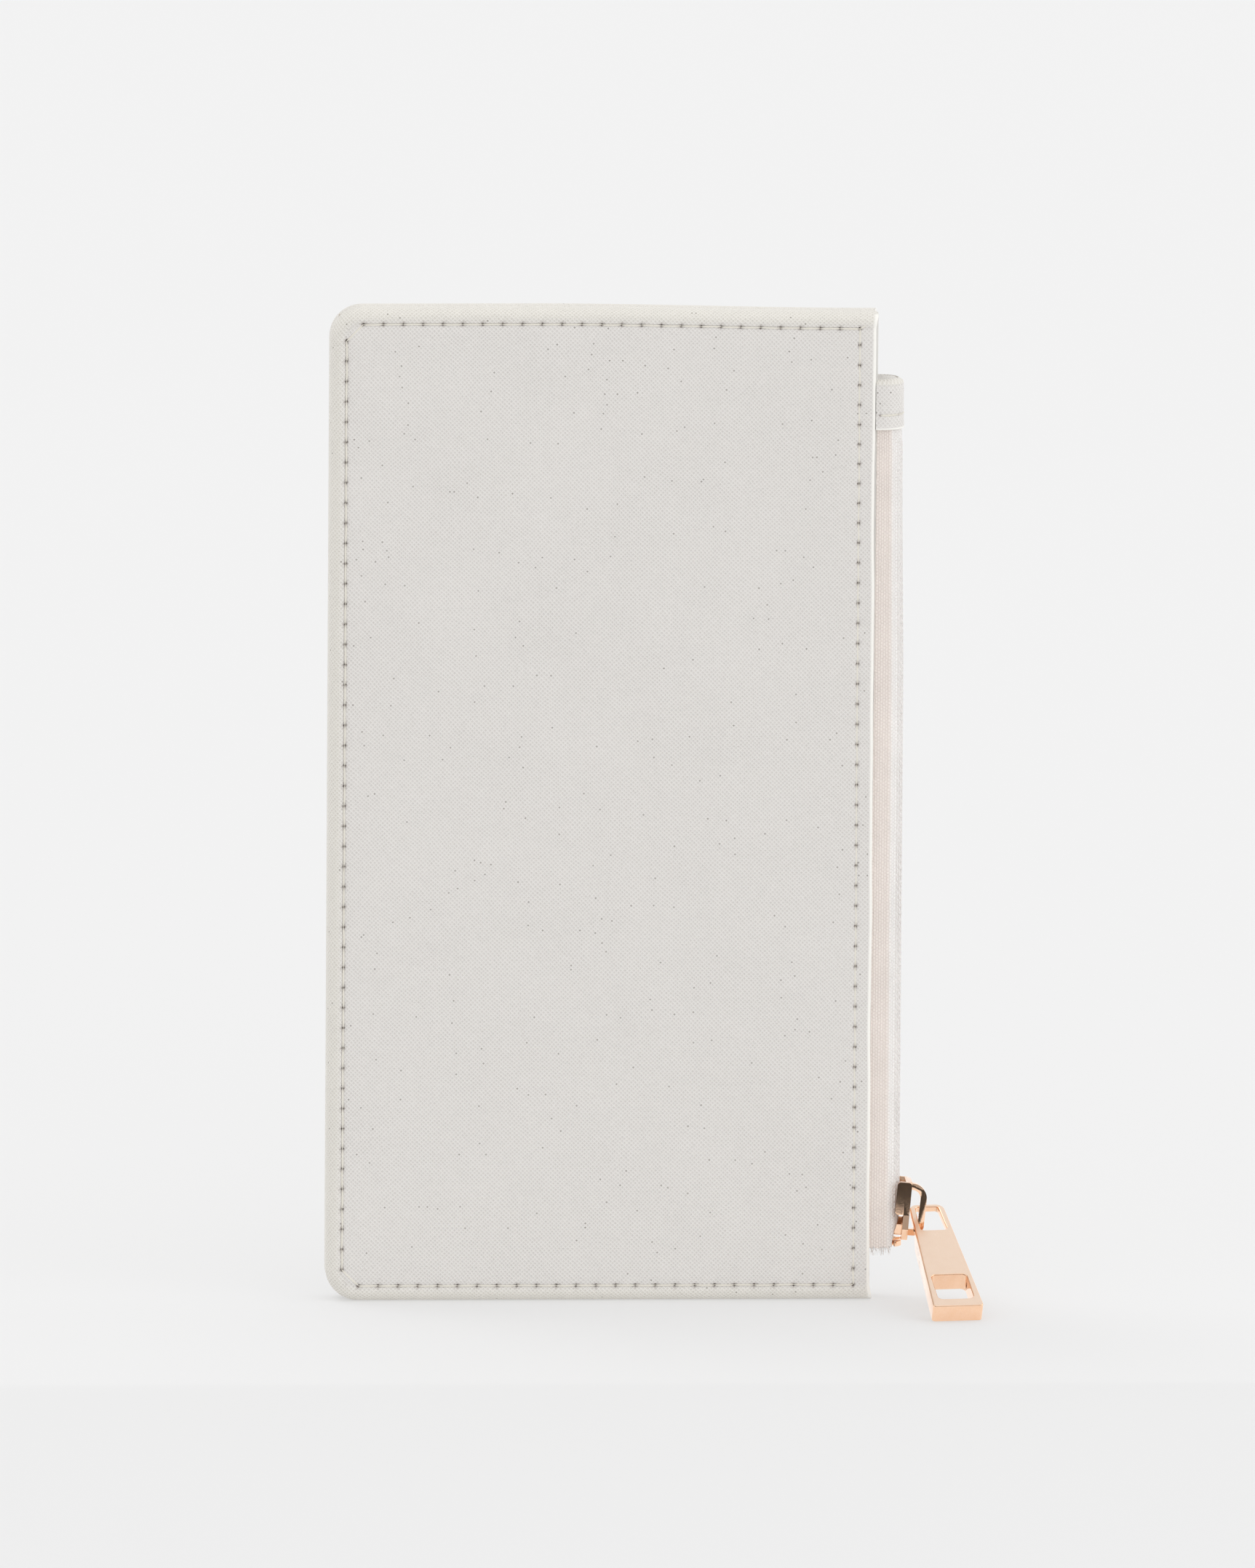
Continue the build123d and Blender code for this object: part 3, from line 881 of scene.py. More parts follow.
def closePanel(panel):
    # the cavity's floor, and the end of the turned edges at the zip
    zipEdge = panelHigh.x
    openEdit(panel)

    def openEdge(edge):
        return edge.is_boundary

    def atZip(vertex):
        return vertex.co.x > zipEdge - 0.25 * mm

    def inCavity(edge):
        return openEdge(edge) and not (atZip(edge.verts[0]) and atZip(edge.verts[1]))

    mesh = bmesh.from_edit_mesh(panel.data)
    ends = [v for v in mesh.verts if v.is_boundary and atZip(v) and any(
        e.is_boundary and not atZip(e.other_vert(v)) for e in v.link_edges)]
    spots = [v.co.copy() for v in ends]
    pickWhere(panel, "VERT", lambda v: any((v.co - spot).length < 1e-7 for spot in spots))
    bpy.ops.mesh.edge_face_add()
    pickWhere(panel, "EDGE", lambda e: inCavity(e) or e.is_wire)
    bpy.ops.mesh.edge_face_add()
    pickWhere(panel, "EDGE", openEdge)
    bpy.ops.mesh.edge_face_add()
    bpy.ops.mesh.select_all(action="SELECT")
    bpy.ops.mesh.normals_make_consistent(inside=False)
    closeEdit()


frontPanel, travel, outs, depths = makePanel()
rollEdges(frontPanel, travel, outs, depths)
closePanel(frontPanel)
shadeSmooth(frontPanel, 28)
useMaterial(frontPanel, leather)
rearPanel = mirrorToRear(frontPanel, "rearPanel")
for piece, node in ((frontPanel, "front_panel"), (rearPanel, "rear_panel")):
    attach(piece, "pouch")
    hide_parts(node)
print("panels made", len(frontPanel.data.polygons), "faces")


# ---- the stitching ----

stitchLook = {
    "radius": 0.15,
    "sides": 8,
    "runs": 6,
    "plunge": 0.34,  # how far each end goes down its needle hole
    "sink": 0.24,  # below the panel's face
}


def makeStitch():
    # one stitch, a metre long in its mesh, laid along X with its ends turned down
    look = stitchLook
    deselectAll()
    bpy.ops.mesh.primitive_cylinder_add(
        vertices=look["sides"], radius=1, depth=1, rotation=(0, math.pi / 2, 0), end_fill_type="NGON"
    )
    stitch = newPiece("stitch")
    openEdit(stitch)
    for cut in range(1, look["runs"]):
        bpy.ops.mesh.select_all(action="SELECT")
        bpy.ops.mesh.bisect(plane_co=(cut / look["runs"] - 0.5, 0, 0), plane_no=(1, 0, 0))
    closeEdit()
    return stitch


def laySeam(holes, pairs, name, seed):
    # a stitch between each pair of neighbouring holes
    look = stitchLook
    dice = np.random.default_rng(seed)
    model = makeStitch()
    base = readPoints(model)
    face = panelLow.y / mm + look["sink"]
    copies = []
    for number, (first, second) in enumerate(pairs):
        start, end = np.array(holes[first]), np.array(holes[second])
        run = end - start
        length = np.hypot(*run)
        unit = run / length
        aside = np.array([-unit[1], unit[0]])
        along = base[:, 0] + 0.5
        slack = dice.uniform(-0.05, 0.05)
        slant = dice.uniform(-0.06, 0.10)
        thin = look["radius"] * (1 - 0.45 * np.abs(2 * along - 1) ** 6)
        rise = np.abs(2 * along - 1) ** 8 * look["plunge"] + 0.07
        sideways = base[:, 1] * thin + (along - 0.5) * slant + slack * np.sin(math.pi * along)
        twin = copyPiece(model, f"{name}{number}")
        shaped = np.empty_like(base)
        shaped[:, 0] = start[0] + unit[0] * along * length + aside[0] * sideways
        shaped[:, 2] = start[1] + unit[1] * along * length + aside[1] * sideways
        shaped[:, 1] = face + rise + base[:, 2] * thin * 0.62
        writePoints(twin, settle(shaped * mm))
        copies.append(twin)
    bpy.data.objects.remove(model)
    seam = joinPieces(copies, name)
    faceOutward(seam)
    shadeSmooth(seam, 60)
    useMaterial(seam, thread)
    return seam


def sewPouch():
    side, lower, upper, zipRow = needleHoles()
    holes = side + lower + upper
    sides, rows = len(side), len(lower)
    pairs = [(k, k + 1) for k in range(sides - 1)]
    pairs += [(sides + k, sides + k + 1) for k in range(rows - 1)]
    pairs += [(sides + rows + k, sides + rows + k + 1) for k in range(rows - 1)]
    pairs += [(0, sides), (sides - 1, sides + rows)]  # round the two corners
    around = laySeam(holes, pairs, "edgeStitches", 11)
    zipHoles = [lower[-1]] + zipRow + [upper[-1]]
    tack = (panelHigh.x / mm - 0.5, panelHigh.z / mm - 1.4)
    zipHoles.append(tack)  # the row ends in a stitch thrown over the corner
    beside = laySeam(zipHoles, [(k, k + 1) for k in range(len(zipHoles) - 1)], "zipStitches", 12)
    for front, rearName, nodes in (
        (around, "edgeStitchesRear", ("perimeter_needle_thread", "perimeter_bobbin_thread")),
        (beside, "zipStitchesRear", ("zip_seam_thread_front", "zip_seam_thread_rear")),
    ):
        rear = mirrorToRear(front, rearName)
        for piece, node in zip((front, rear), nodes):
            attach(piece, "pouch")
            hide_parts(node)


sewPouch()
print("stitches sewn")


# ---- the zip's tapes ----

tapeSizes = {
    "centre": 46.0,  # the middle of the closed zip's curve
    "reach": 3.9,
    "depth": 2.9,
    "topSqueeze": 0.38,
    "hiddenEdge": 37.3,
    "thickness": 0.46,
    "endAngle": 86.5,
    "columns": 44,
    "rowStep": 0.29,
    "closedAbove": 15.6,
    "openBelow": 8.6,
    "foldReach": 3.55,  # where the parted tape folds back, out from the middle
    "foldIn": 0.95,
    "partedOut": 0.35,
    "ragged": 0.35,
    # the woven ridges: how far in from the coil's edge, how high and how wide
    "ridges": ((3.3, 0.16, 0.32), (2.2, 0.05, 0.18)),
}


def tapeCurve(size, spare=0.0):
    # travel along the tape from its hidden edge, and where that is across the zip
    angles = np.radians(np.linspace(0, size["endAngle"], 60))
    x = np.concatenate([[size["hiddenEdge"]], size["centre"] + (size["reach"] + spare) * np.sin(angles)])
    y = np.concatenate([[-size["depth"] - spare], -(size["depth"] + spare) * np.cos(angles)])
    travel = np.concatenate([[0], np.cumsum(np.hypot(np.diff(x), np.diff(y)))])
    return travel, x, y


def closeUp(x, y, z):
    # the zip is a little slimmer towards its upper end
    size = tapeSizes
    slim = size["topSqueeze"] * softStep(z, 100, 140) + 0.1 * softStep(z, 142, 145.5)
    lean = np.clip((x - size["centre"]) / size["reach"], 0, 1)
    return x - slim * lean, y * (1 - 0.08 * slim * lean)


def partTape(x, y, z):
    # below the slider the tape folds back over the post, and its fold runs in towards the pouch
    size = tapeSizes
    open_ = softStep(z, size["closedAbove"], size["openBelow"])
    fold = size["centre"] + size["foldReach"] - size["foldIn"] * open_
    over = np.maximum(x - fold, 0) * (open_ > 0)
    turnedX = np.where(over > 0, fold - 0.12 * over, x)
    turnedY = y + np.where(over > 0, 0.25 * open_ * over, 0)
    outward = size["partedOut"] * open_ * softStep(x, size["centre"], size["centre"] + 2.5)
    return turnedX * open_ + x * (1 - open_), (turnedY - outward) * open_ + y * (1 - open_)


def makeTape():
    size = tapeSizes
    travel, curveX, curveY = tapeCurve(size)
    width = travel[-1]
    low, high = tapeLow.z / mm, tapeHigh.z / mm
    rows = round((high - low) / size["rowStep"])
    deselectAll()
    bpy.ops.mesh.primitive_grid_add(
        x_subdivisions=size["columns"],
        y_subdivisions=rows,
        size=1,
        rotation=(math.pi / 2, 0, 0),
    )
    tape = newPiece("zipTape")
    points = readPoints(tape)
    across = (points[:, 0] + 0.5) * width
    along = low + (points[:, 2] + 0.5) * (high - low)
    layMap(tape, across * mm, along * mm)
    x = np.interp(across, travel, curveX)
    y = np.interp(across, travel, curveY)
    lean = np.clip((x - size["centre"]) / size["reach"], 0, 1)
    # the woven ridge that stands up beside the coil's stitches, and the slow waver of the cloth
    ridge = 0 * across
    for inward, rise, spread in size["ridges"]:
        ridge += rise * np.exp(-(((across - width + inward) / spread) ** 2))
    ridge += 0.045 * gentleWaves(points[:, 0] * 0, along * mm * 1.7, 21) * softStep(x, 45, 46)
    ridge += 0.03 * gentleWaves(x * mm * 4, along * mm * 4.0, 22) * softStep(x, 45, 46)
    x = x + ridge * lean
    y = y - ridge * np.sqrt(np.maximum(1 - lean**2, 0))
    x, y = closeUp(x, y, along)
    x, y = partTape(x, y, along)
    uneven = np.random.default_rng(4).uniform(-0.05, size["ragged"], along.shape)
    ragged = np.where(along < low + 0.15, uneven, 0)
    writePoints(tape, np.stack([x, y, along + ragged], axis=1) * mm)
    finishWith(tape, "SOLIDIFY", thickness=size["thickness"] * mm, offset=0, use_even_offset=False)
    faceOutward(tape)
    shadeSmooth(tape, 60)
    useMaterial(tape, tapeCloth)
    return tape, width


def alongZip(angle, spare):
    # a place on the zip's curve, by its angle from the front
    size = tapeSizes
    turn = math.radians(angle)
    return (
        size["centre"] + (size["reach"] + spare) * math.sin(turn),
        -(size["depth"] + spare) * math.cos(turn),
    )


chainLook = {"pitch": 1.25, "angles": (52, 62, 73), "height": 0.13, "width": 0.62, "length": 1.02}


def makeChainRows():
    # the double row of chain stitches that holds the coil, one loop to each turn of the coil
    look = chainLook
    loops = []
    low, high = tapeSizes["closedAbove"], tabLow.z / mm + 0.6
    count = int((high - low) / look["pitch"])
    for side, angle in enumerate(look["angles"]):
        x, y = alongZip(angle, tapeSizes["thickness"] / 2)
        deselectAll()
        bpy.ops.mesh.primitive_cube_add(size=1)
        loop = newPiece("chainLoop")
        openEdit(loop)
        bpy.ops.mesh.select_all(action="SELECT")
        bpy.ops.mesh.bevel(offset=0.24, segments=2, affect="EDGES")
        closeEdit()
        points = readPoints(loop)
        wide = points[:, 0] * look["width"] * (1 - 0.25 * (points[:, 2] + 0.5))
        out = points[:, 1] * look["height"] * 2
        turn = math.radians(angle)
        moved = np.stack([
            x + wide * math.cos(turn) + out * math.sin(turn),
            y + wide * math.sin(turn) * 0.75 - out * math.cos(turn),
            points[:, 2] * look["length"] + wide * 0.25 * (-1) ** side,
        ], axis=1)
        writePoints(loop, moved * mm)
        start = low + look["pitch"] * (0.5 if side == 1 else 0)
        places = [(np.eye(3), (0, 0, (start + look["pitch"] * k) * mm)) for k in range(count)]
        loops.append(layCopies(loop, places, f"chainRow{side}"))
    rows = joinPieces(loops, "chainStitches")
    points = readPoints(rows) / mm
    x, y = closeUp(points[:, 0], points[:, 1], points[:, 2])
    writePoints(rows, np.stack([x, y, points[:, 2]], axis=1) * mm)
    faceOutward(rows)
    shadeSmooth(rows, 60)
    useMaterial(rows, tapeCloth)
    points = readPoints(rows)
    layMap(rows, points[:, 0] + points[:, 1], points[:, 2])
    return rows


frayLook = {"count": 44, "thick": 0.07, "thin": 0.02, "length": (0.35, 1.5), "spread": (45.3, 48.5)}


def makeFray():
    # loose ends of the cut tape
    look = frayLook
    dice = np.random.default_rng(31)
    hairs = []
    for number in range(look["count"]):
        deselectAll()
        bpy.ops.mesh.primitive_cone_add(
            vertices=5, radius1=look["thick"], radius2=look["thin"], depth=1, end_fill_type="NGON"
        )
        hair = newPiece(f"hair{number}")
        openEdit(hair)
        for cut in (-0.2, 0.15):
            bpy.ops.mesh.select_all(action="SELECT")
            bpy.ops.mesh.bisect(plane_co=(0, 0, cut), plane_no=(0, 0, 1))
        closeEdit()
        points = readPoints(hair)
        length = dice.uniform(*look["length"])
        fall = points[:, 2] + 0.5
        place = dice.uniform(*look["spread"])
        drift, sway = dice.uniform(-0.35, 0.35), dice.uniform(-0.3, 0.2)
        moved = np.stack([
            place + points[:, 0] + drift * fall**2,
            -tapeSizes["depth"] - dice.uniform(-0.12, 0.2) + points[:, 1] + sway * fall**2,
            tapeLow.z / mm + 0.25 - fall * length,
        ], axis=1)
        writePoints(hair, moved * mm)
        hairs.append(hair)
    fray = joinPieces(hairs, "frayedEnds")
    faceOutward(fray)
    shadeSmooth(fray, 60)
    useMaterial(fray, tapeCloth)
    points = readPoints(fray)
    layMap(fray, points[:, 0], points[:, 2])
    return fray


def makeZipSides():
    tape, width = makeTape()
    chain = makeChainRows()
    fray = makeFray()
    tape.name = "zipTapeFront"
    flat = (width * mm, tapeHigh.z - tapeLow.z)
    for piece, node, rearName, rearNode in (
        (tape, "zip_tape_front", "zipTapeRear", "zip_tape_rear"),
        (chain, "coil_thread_front", "chainStitchesRear", "coil_thread_rear"),
        (fray, None, "frayedEndsRear", None),
    ):
        rear = mirrorToRear(piece, rearName)
        for shown, replaced in ((piece, node), (rear, rearNode)):
            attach(shown, "pouch")
            if replaced:
                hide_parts(replaced)
    return flat


tapeFlat = makeZipSides()
print("zip tapes made, each cut", [round(side, 4) for side in tapeFlat])


# ---- the coils and their cords ----

coilLook = {
    "pitch": 1.25,
    "wire": 0.24,
    "sides": 6,
    "steps": 12,
    "parting": (15.4, 12.6),  # between these heights the two sides come apart
    "cord": 0.22,
    "closed": (2.62, -0.62, 0.72, 0.86),  # centre across and deep, and half sizes
    "parted": (2.35, -1.75, 0.75, 0.50),
}


def makeCoil(name, offset):
    look = coilLook
    low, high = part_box("zip_coil_front")
    deselectAll()
    bpy.ops.mesh.primitive_circle_add(
        vertices=look["sides"], radius=look["wire"], location=(1, 0, 0), rotation=(math.pi / 2, 0, 0)
    )
    turn = newPiece("coilTurn")
    openEdit(turn)
    bpy.ops.mesh.select_all(action="SELECT")
    bpy.ops.mesh.spin(
        steps=look["steps"], angle=2 * math.pi, center=(0, 0, 0), axis=(0, 0, 1), use_auto_merge=False
    )
    closeEdit()
    points = readPoints(turn)
    ring = np.hypot(points[:, 0], points[:, 1])
    order = np.arange(len(points)) // look["sides"]
    angle = order * 2 * math.pi / look["steps"]
    rise = points[:, 2] + look["pitch"] * (order / look["steps"])
    count = int((high.z - low.z) / mm / look["pitch"]) - 1
    turns = []
    for number in range(count):
        start = low.z / mm + 0.3 + offset + number * look["pitch"]
        parted = float(softStep(np.array([start]), *look["parting"])[0])
        cx, cy, rx, ry = [a * (1 - parted) + b * parted for a, b in zip(look["closed"], look["parted"])]
        twin = copyPiece(turn, f"{name}{number}")
        thick = ring - 1
        shaped = np.stack([
            tapeSizes["centre"] + cx + (rx + thick) * np.cos(angle),
            cy + (ry + thick) * np.sin(angle),
            start + rise,
        ], axis=1)
        writePoints(twin, shaped * mm)
        turns.append(twin)
    bpy.data.objects.remove(turn)
    coil = joinPieces(turns, name)
    openEdit(coil)
    bpy.ops.mesh.select_all(action="SELECT")
    bpy.ops.mesh.remove_doubles(threshold=0.00002)
    pickWhere(coil, "EDGE", lambda e: e.is_boundary)
    bpy.ops.mesh.edge_face_add()
    bpy.ops.mesh.select_all(action="SELECT")
    bpy.ops.mesh.normals_make_consistent(inside=False)
    closeEdit()
    points = readPoints(coil) / mm
    x, y = closeUp(points[:, 0], points[:, 1], points[:, 2])
    writePoints(coil, np.stack([x, y, points[:, 2]], axis=1) * mm)
    shadeSmooth(coil, 60)
    useMaterial(coil, coilMetal)
    return coil


def makeCord(name):
    # the twisted filler cord inside a coil
    low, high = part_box("coil_cord_front")
    deselectAll()
    bpy.ops.mesh.primitive_cylinder_add(vertices=9, radius=coilLook["cord"], depth=1, end_fill_type="NGON")
    cord = newPiece(name)
    openEdit(cord)
    pickWhere(cord, "EDGE", lambda e: abs(e.verts[0].co.z - e.verts[1].co.z) > 0.5)
    bpy.ops.mesh.subdivide(number_cuts=99)
    closeEdit()
    points = readPoints(cord)
    z = low.z / mm + (points[:, 2] + 0.5) * (high.z - low.z) / mm
    turn = z * 1.9
    angle = np.arctan2(points[:, 1], points[:, 0])
    radius = np.hypot(points[:, 0], points[:, 1]) * (0.88 + 0.12 * np.cos(3 * angle))
    parted = softStep(z, *coilLook["parting"])
    cx = coilLook["closed"][0] * (1 - parted) + coilLook["parted"][0] * parted
    cy = coilLook["closed"][1] * (1 - parted) + coilLook["parted"][1] * parted
    shaped = np.stack([
        tapeSizes["centre"] + cx + radius * np.cos(angle + turn), cy + radius * np.sin(angle + turn), z
    ], axis=1)
    writePoints(cord, shaped * mm)
    faceOutward(cord)
    shadeSmooth(cord, 60)
    useMaterial(cord, thread)
    return cord


frontCoil = makeCoil("coilFront", 0.0)
rearCoil = mirrorToRear(makeCoil("coilRearModel", coilLook["pitch"] / 2), "coilRear")
bpy.data.objects.remove(bpy.data.objects["coilRearModel"])
frontCord = makeCord("coilCordFront")
rearCord = mirrorToRear(frontCord, "coilCordRear")
for piece, node, slot in (
    (frontCoil, "zip_coil_front", "metallised_coil"),
    (rearCoil, "zip_coil_rear", "metallised_coil"),
    (frontCord, "coil_cord_front", "stitching"),
    (rearCord, "coil_cord_rear", "stitching"),
):
    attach(piece, "pouch")
    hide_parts(node)
print("coils wound")


# ---- the tab over the zip's upper end ----

tabLook = {
    "thickness": 0.5,
    "reach": 3.62,
    "columns": 64,
    "rows": 40,
    "stitchRow": 2.4,
    "lift": 0.9,  # its cut edge stands this far above the CAD tab's
    "inner": 45.12,  # how far in its two leaves reach
    "pitch": 3.33,
    "firstHole": 0.75,
    "closing": 0.22,  # how much the fold along the top draws it in
    "thread": (0.11, 0.17),
}


def makeTab():
    look = tabLook
    reach = look["reach"]
    depth = tapeSizes["depth"] + 0.3 + look["thickness"] / 2
    centre = tapeSizes["centre"]
    angles = np.radians(np.linspace(0, 180, 90))
    curveX = np.concatenate([[look["inner"]], centre + reach * np.sin(angles), [look["inner"]]])
    curveY = np.concatenate([[-depth + 0.05], -depth * np.cos(angles), [depth - 0.05]])
    travel = np.concatenate([[0], np.cumsum(np.hypot(np.diff(curveX), np.diff(curveY)))])
    low, high = tabLow.z / mm + look["lift"], tabHigh.z / mm
    deselectAll()
    bpy.ops.mesh.primitive_grid_add(
        x_subdivisions=look["columns"], y_subdivisions=look["rows"], size=1, rotation=(math.pi / 2, 0, 0)
    )
    tab = newPiece("zipEndTab")
    points = readPoints(tab)
    across = (points[:, 0] + 0.5) * travel[-1]
    along = low + (points[:, 2] + 0.5) * (high - low - 0.1)
    layMap(tab, across * mm, along * mm)
    x = np.interp(across, travel, curveX)
    y = np.interp(across, travel, curveY)
    # a fold along the top, a groove at the stitches, and a cut lower edge that lifts a little
    squeeze = 1 - look["closing"] * softStep(along, high - 0.75, high - 0.1) ** 2
    squeeze -= 0.028 * np.exp(-(((along - high + 0.95) / 0.16) ** 2))
    squeeze -= 0.035 * np.exp(-(((along - low - look["stitchRow"]) / 0.28) ** 2))
    squeeze += 0.02 * softStep(along, low + 1.4, low)
    pitch = look["pitch"]
    phase = (across - look["firstHole"]) / pitch
    gap = np.hypot((phase - np.rint(phase)) * pitch, along - low - look["stitchRow"])
    squeeze -= 0.07 * np.exp(-((gap / 0.25) ** 2))
    squeeze += 0.012 * gentleWaves(x * mm * 3, along * mm * 3, 41)
    x = np.where(x > centre, centre + (x - centre) * squeeze, x)
    y = y * squeeze
    writePoints(tab, np.stack([x, y, along], axis=1) * mm)
    # painted shade at the tab's needle holes
    storeValue(tab, "needleHoleShade", np.clip(np.exp(-((gap / 0.22) ** 2)) * 1.2, 0, 1))
    atFold = softStep(along, high - 0.9, high - 0.6)
    storeValue(tab, "turnedEdge", np.maximum(atFold, softStep(along, low + 0.3, low)))
    # the cut lower edge takes the cream colour with its painted highlight
    storeValue(tab, "cutEdge", softStep(along, low + 0.45, low + 0.15))
    finishWith(tab, "SOLIDIFY", thickness=look["thickness"] * mm, offset=0, use_even_offset=False)
    # its faces are turned outward; the cap made below closes the fold over the top of the zip
    openEdit(tab)
    bpy.ops.mesh.select_all(action="SELECT")
    bpy.ops.mesh.normals_make_consistent(inside=False)
    closeEdit()
    shadeSmooth(tab, 50)
    useMaterial(tab, leather)
    return tab, travel, curveX, curveY


def makeTabCap():
    # the folded-in top of the tab, which meets its drawn-in edge
    high = tabHigh.z / mm
    drawnIn = 1 - tabLook["closing"]
    start, centre = tabLook["inner"] + 0.08, tapeSizes["centre"]
    deselectAll()
    bpy.ops.mesh.primitive_grid_add(x_subdivisions=24, y_subdivisions=20, size=1)
    cap = newPiece("zipEndTabTop")
    points = readPoints(cap)
    share = points[:, 0] + 0.5
    across = 2 * points[:, 1]
    reach = drawnIn * tabLook["reach"] + 0.12
    depth = drawnIn * (tapeSizes["depth"] + 0.55) + 0.12
    x = start + share * (centre + reach - start)
    inside = np.sqrt(np.clip(1 - np.clip((x - centre) / reach, 0, 1) ** 2, 0, 1))
    y = across * depth * inside
    edge = np.maximum(np.abs(across), share)
    z = high + 0.22 - 0.34 * edge**3
    layMap(cap, x * mm, y * mm)
    writePoints(cap, np.stack([x, y, z], axis=1) * mm)
    storeValue(cap, "turnedEdge", np.full(len(x), 0.6))
    storeValue(cap, "needleHoleShade", np.zeros(len(x)))
    storeValue(cap, "cutEdge", np.zeros(len(x)))
    finishWith(cap, "SOLIDIFY", thickness=0.4 * mm, offset=-1)
    faceOutward(cap)
    shadeSmooth(cap, 50)
    useMaterial(cap, leather)
    return cap


def sewTab(travel, curveX, curveY):
    pitch = tabLook["pitch"]
    thick, wide = tabLook["thread"]
    low = tabLow.z / mm + tabLook["lift"] + tabLook["stitchRow"]
    model = makeStitch()
    base = readPoints(model)
    copies = []
    starts = np.arange(tabLook["firstHole"], travel[-1] - pitch, pitch)
    for number, start in enumerate(starts):
        along = base[:, 0] + 0.5
        place = start + along * pitch
        x = np.interp(place, travel, curveX)
        y = np.interp(place, travel, curveY)
        out = 0.30 + base[:, 2] * thick - np.abs(2 * along - 1) ** 8 * 0.3 - 0.06
        lean = np.clip((x - tapeSizes["centre"]) / tabLook["reach"], 0, 1)
        side = np.sign(y) * np.sqrt(1 - lean**2)
        twin = copyPiece(model, f"tabStitch{number}")
        shaped = np.stack([x + out * lean, y + out * side, low + base[:, 1] * wide], axis=1)
        writePoints(twin, shaped * mm)
        copies.append(twin)
    bpy.data.objects.remove(model)
    seam = joinPieces(copies, "tabStitches")
    faceOutward(seam)
    shadeSmooth(seam, 60)
    useMaterial(seam, thread)
    return seam


tab, tabTravel, tabX, tabY = makeTab()
tabCap = makeTabCap()
tabSeam = sewTab(tabTravel, tabX, tabY)
for piece, node, slot in (
    (tab, "zip_end_tab", "leatherette"), (tabCap, None, "leatherette"), (tabSeam, "tab_thread", "stitching")
):
    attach(piece, "pouch")
    if node:
        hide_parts(node)
print("tab folded and sewn")


# ---- inside the pouch ----

def makeLining():
    # a thin cloth that follows the panel's inside and goes out into the seam
    low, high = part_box("front_lining")
    deselectAll()
    bpy.ops.mesh.primitive_grid_add(
        x_subdivisions=90, y_subdivisions=150, size=1, rotation=(math.pi / 2, 0, 0)
    )
    lining = newPiece("frontLining")
    points = readPoints(lining)
    x = low.x + (points[:, 0] + 0.5) * (high.x - low.x)
    z = low.z + (points[:, 2] + 0.5) * (high.z - low.z)
    layMap(lining, x, z)
    inward = np.minimum(np.minimum(x - low.x, z - low.z), high.z - z) / mm
    deep = low.y + 0.16 * mm + (1 - softStep(inward, 3.7, 5.6)) * (-low.y - 0.32 * mm)
    ripple = 0.05 * mm * gentleWaves(x, z, 51) * softStep(inward, 5, 9)
    writePoints(lining, np.stack([x, deep + ripple, z], axis=1))
    finishWith(lining, "SOLIDIFY", thickness=0.22 * mm, offset=0)
    faceOutward(lining)
    shadeSmooth(lining, 50)
    useMaterial(lining, liningCloth)
    return lining, (high.x - low.x, high.z - low.z)


def makeStiffener():
    low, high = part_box("front_stiffener")
    middle = (low + high) / 2
    deselectAll()
    bpy.ops.mesh.primitive_cube_add(size=1, location=middle)
    bpy.context.active_object.scale = high - low
    board = newPiece("frontBoard")
    openEdit(board)

    def closedCorner(edge):
        return abs(edge.verts[0].co.y - edge.verts[1].co.y) > 0.3 * mm and middleOf(edge).x < 0

    pickWhere(board, "EDGE", closedCorner)
    bpy.ops.mesh.bevel(offset=1.2 * mm, segments=4, affect="EDGES")
    closeEdit()
    finishWith(board, "BEVEL", width=0.12 * mm, segments=2, limit_method="ANGLE")
    shadeSmooth(board, 40)
    useMaterial(board, greyBoard)
    return board


lining, liningFlat = makeLining()
board = makeStiffener()
for piece, rearName, nodes, slot in (
    (lining, "rearLining", ("front_lining", "rear_lining"), "lining_cloth"),
    (board, "rearBoard", ("front_stiffener", "rear_stiffener"), "board"),
):
    rear = mirrorToRear(piece, rearName)
    for shown, node in zip((piece, rear), nodes):
        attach(shown, "pouch")
        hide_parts(node)
print("lining and boards in, lining cut", [round(side, 4) for side in liningFlat])


# ---- the metal ----

flankLook = {"from": 3.05, "border": 0.12, "aboveMiddle": 2.1, "lean": 0.087, "rise": 0.26}


def crownFlanks(casting):
    # the slider's two flanks are slightly crowned, as polishing leaves them
    look = flankLook
    middle = (sliderLow.z + sliderHigh.z) / 2 + look["aboveMiddle"] * mm
    outside = look["from"] * mm

    def isFlank(face):
        return abs(face.normal.y) > 0.99 and abs(face.calc_center_median().y) > outside

    openEdit(casting)
    pickWhere(casting, "FACE", isFlank)
    bpy.ops.mesh.inset(thickness=look["border"] * mm, depth=0)
    bpy.ops.mesh.bisect(plane_co=(0, 0, middle), plane_no=(look["lean"], 0, 1))
    closeEdit()
    points = readPoints(casting)
    line = np.abs(points[:, 2] - middle + look["lean"] * points[:, 0]) < 0.03 * mm
    flank = line & (np.abs(points[:, 1]) > outside)
    points[flank, 1] += np.sign(points[flank, 1]) * look["rise"] * mm
    writePoints(casting, points)


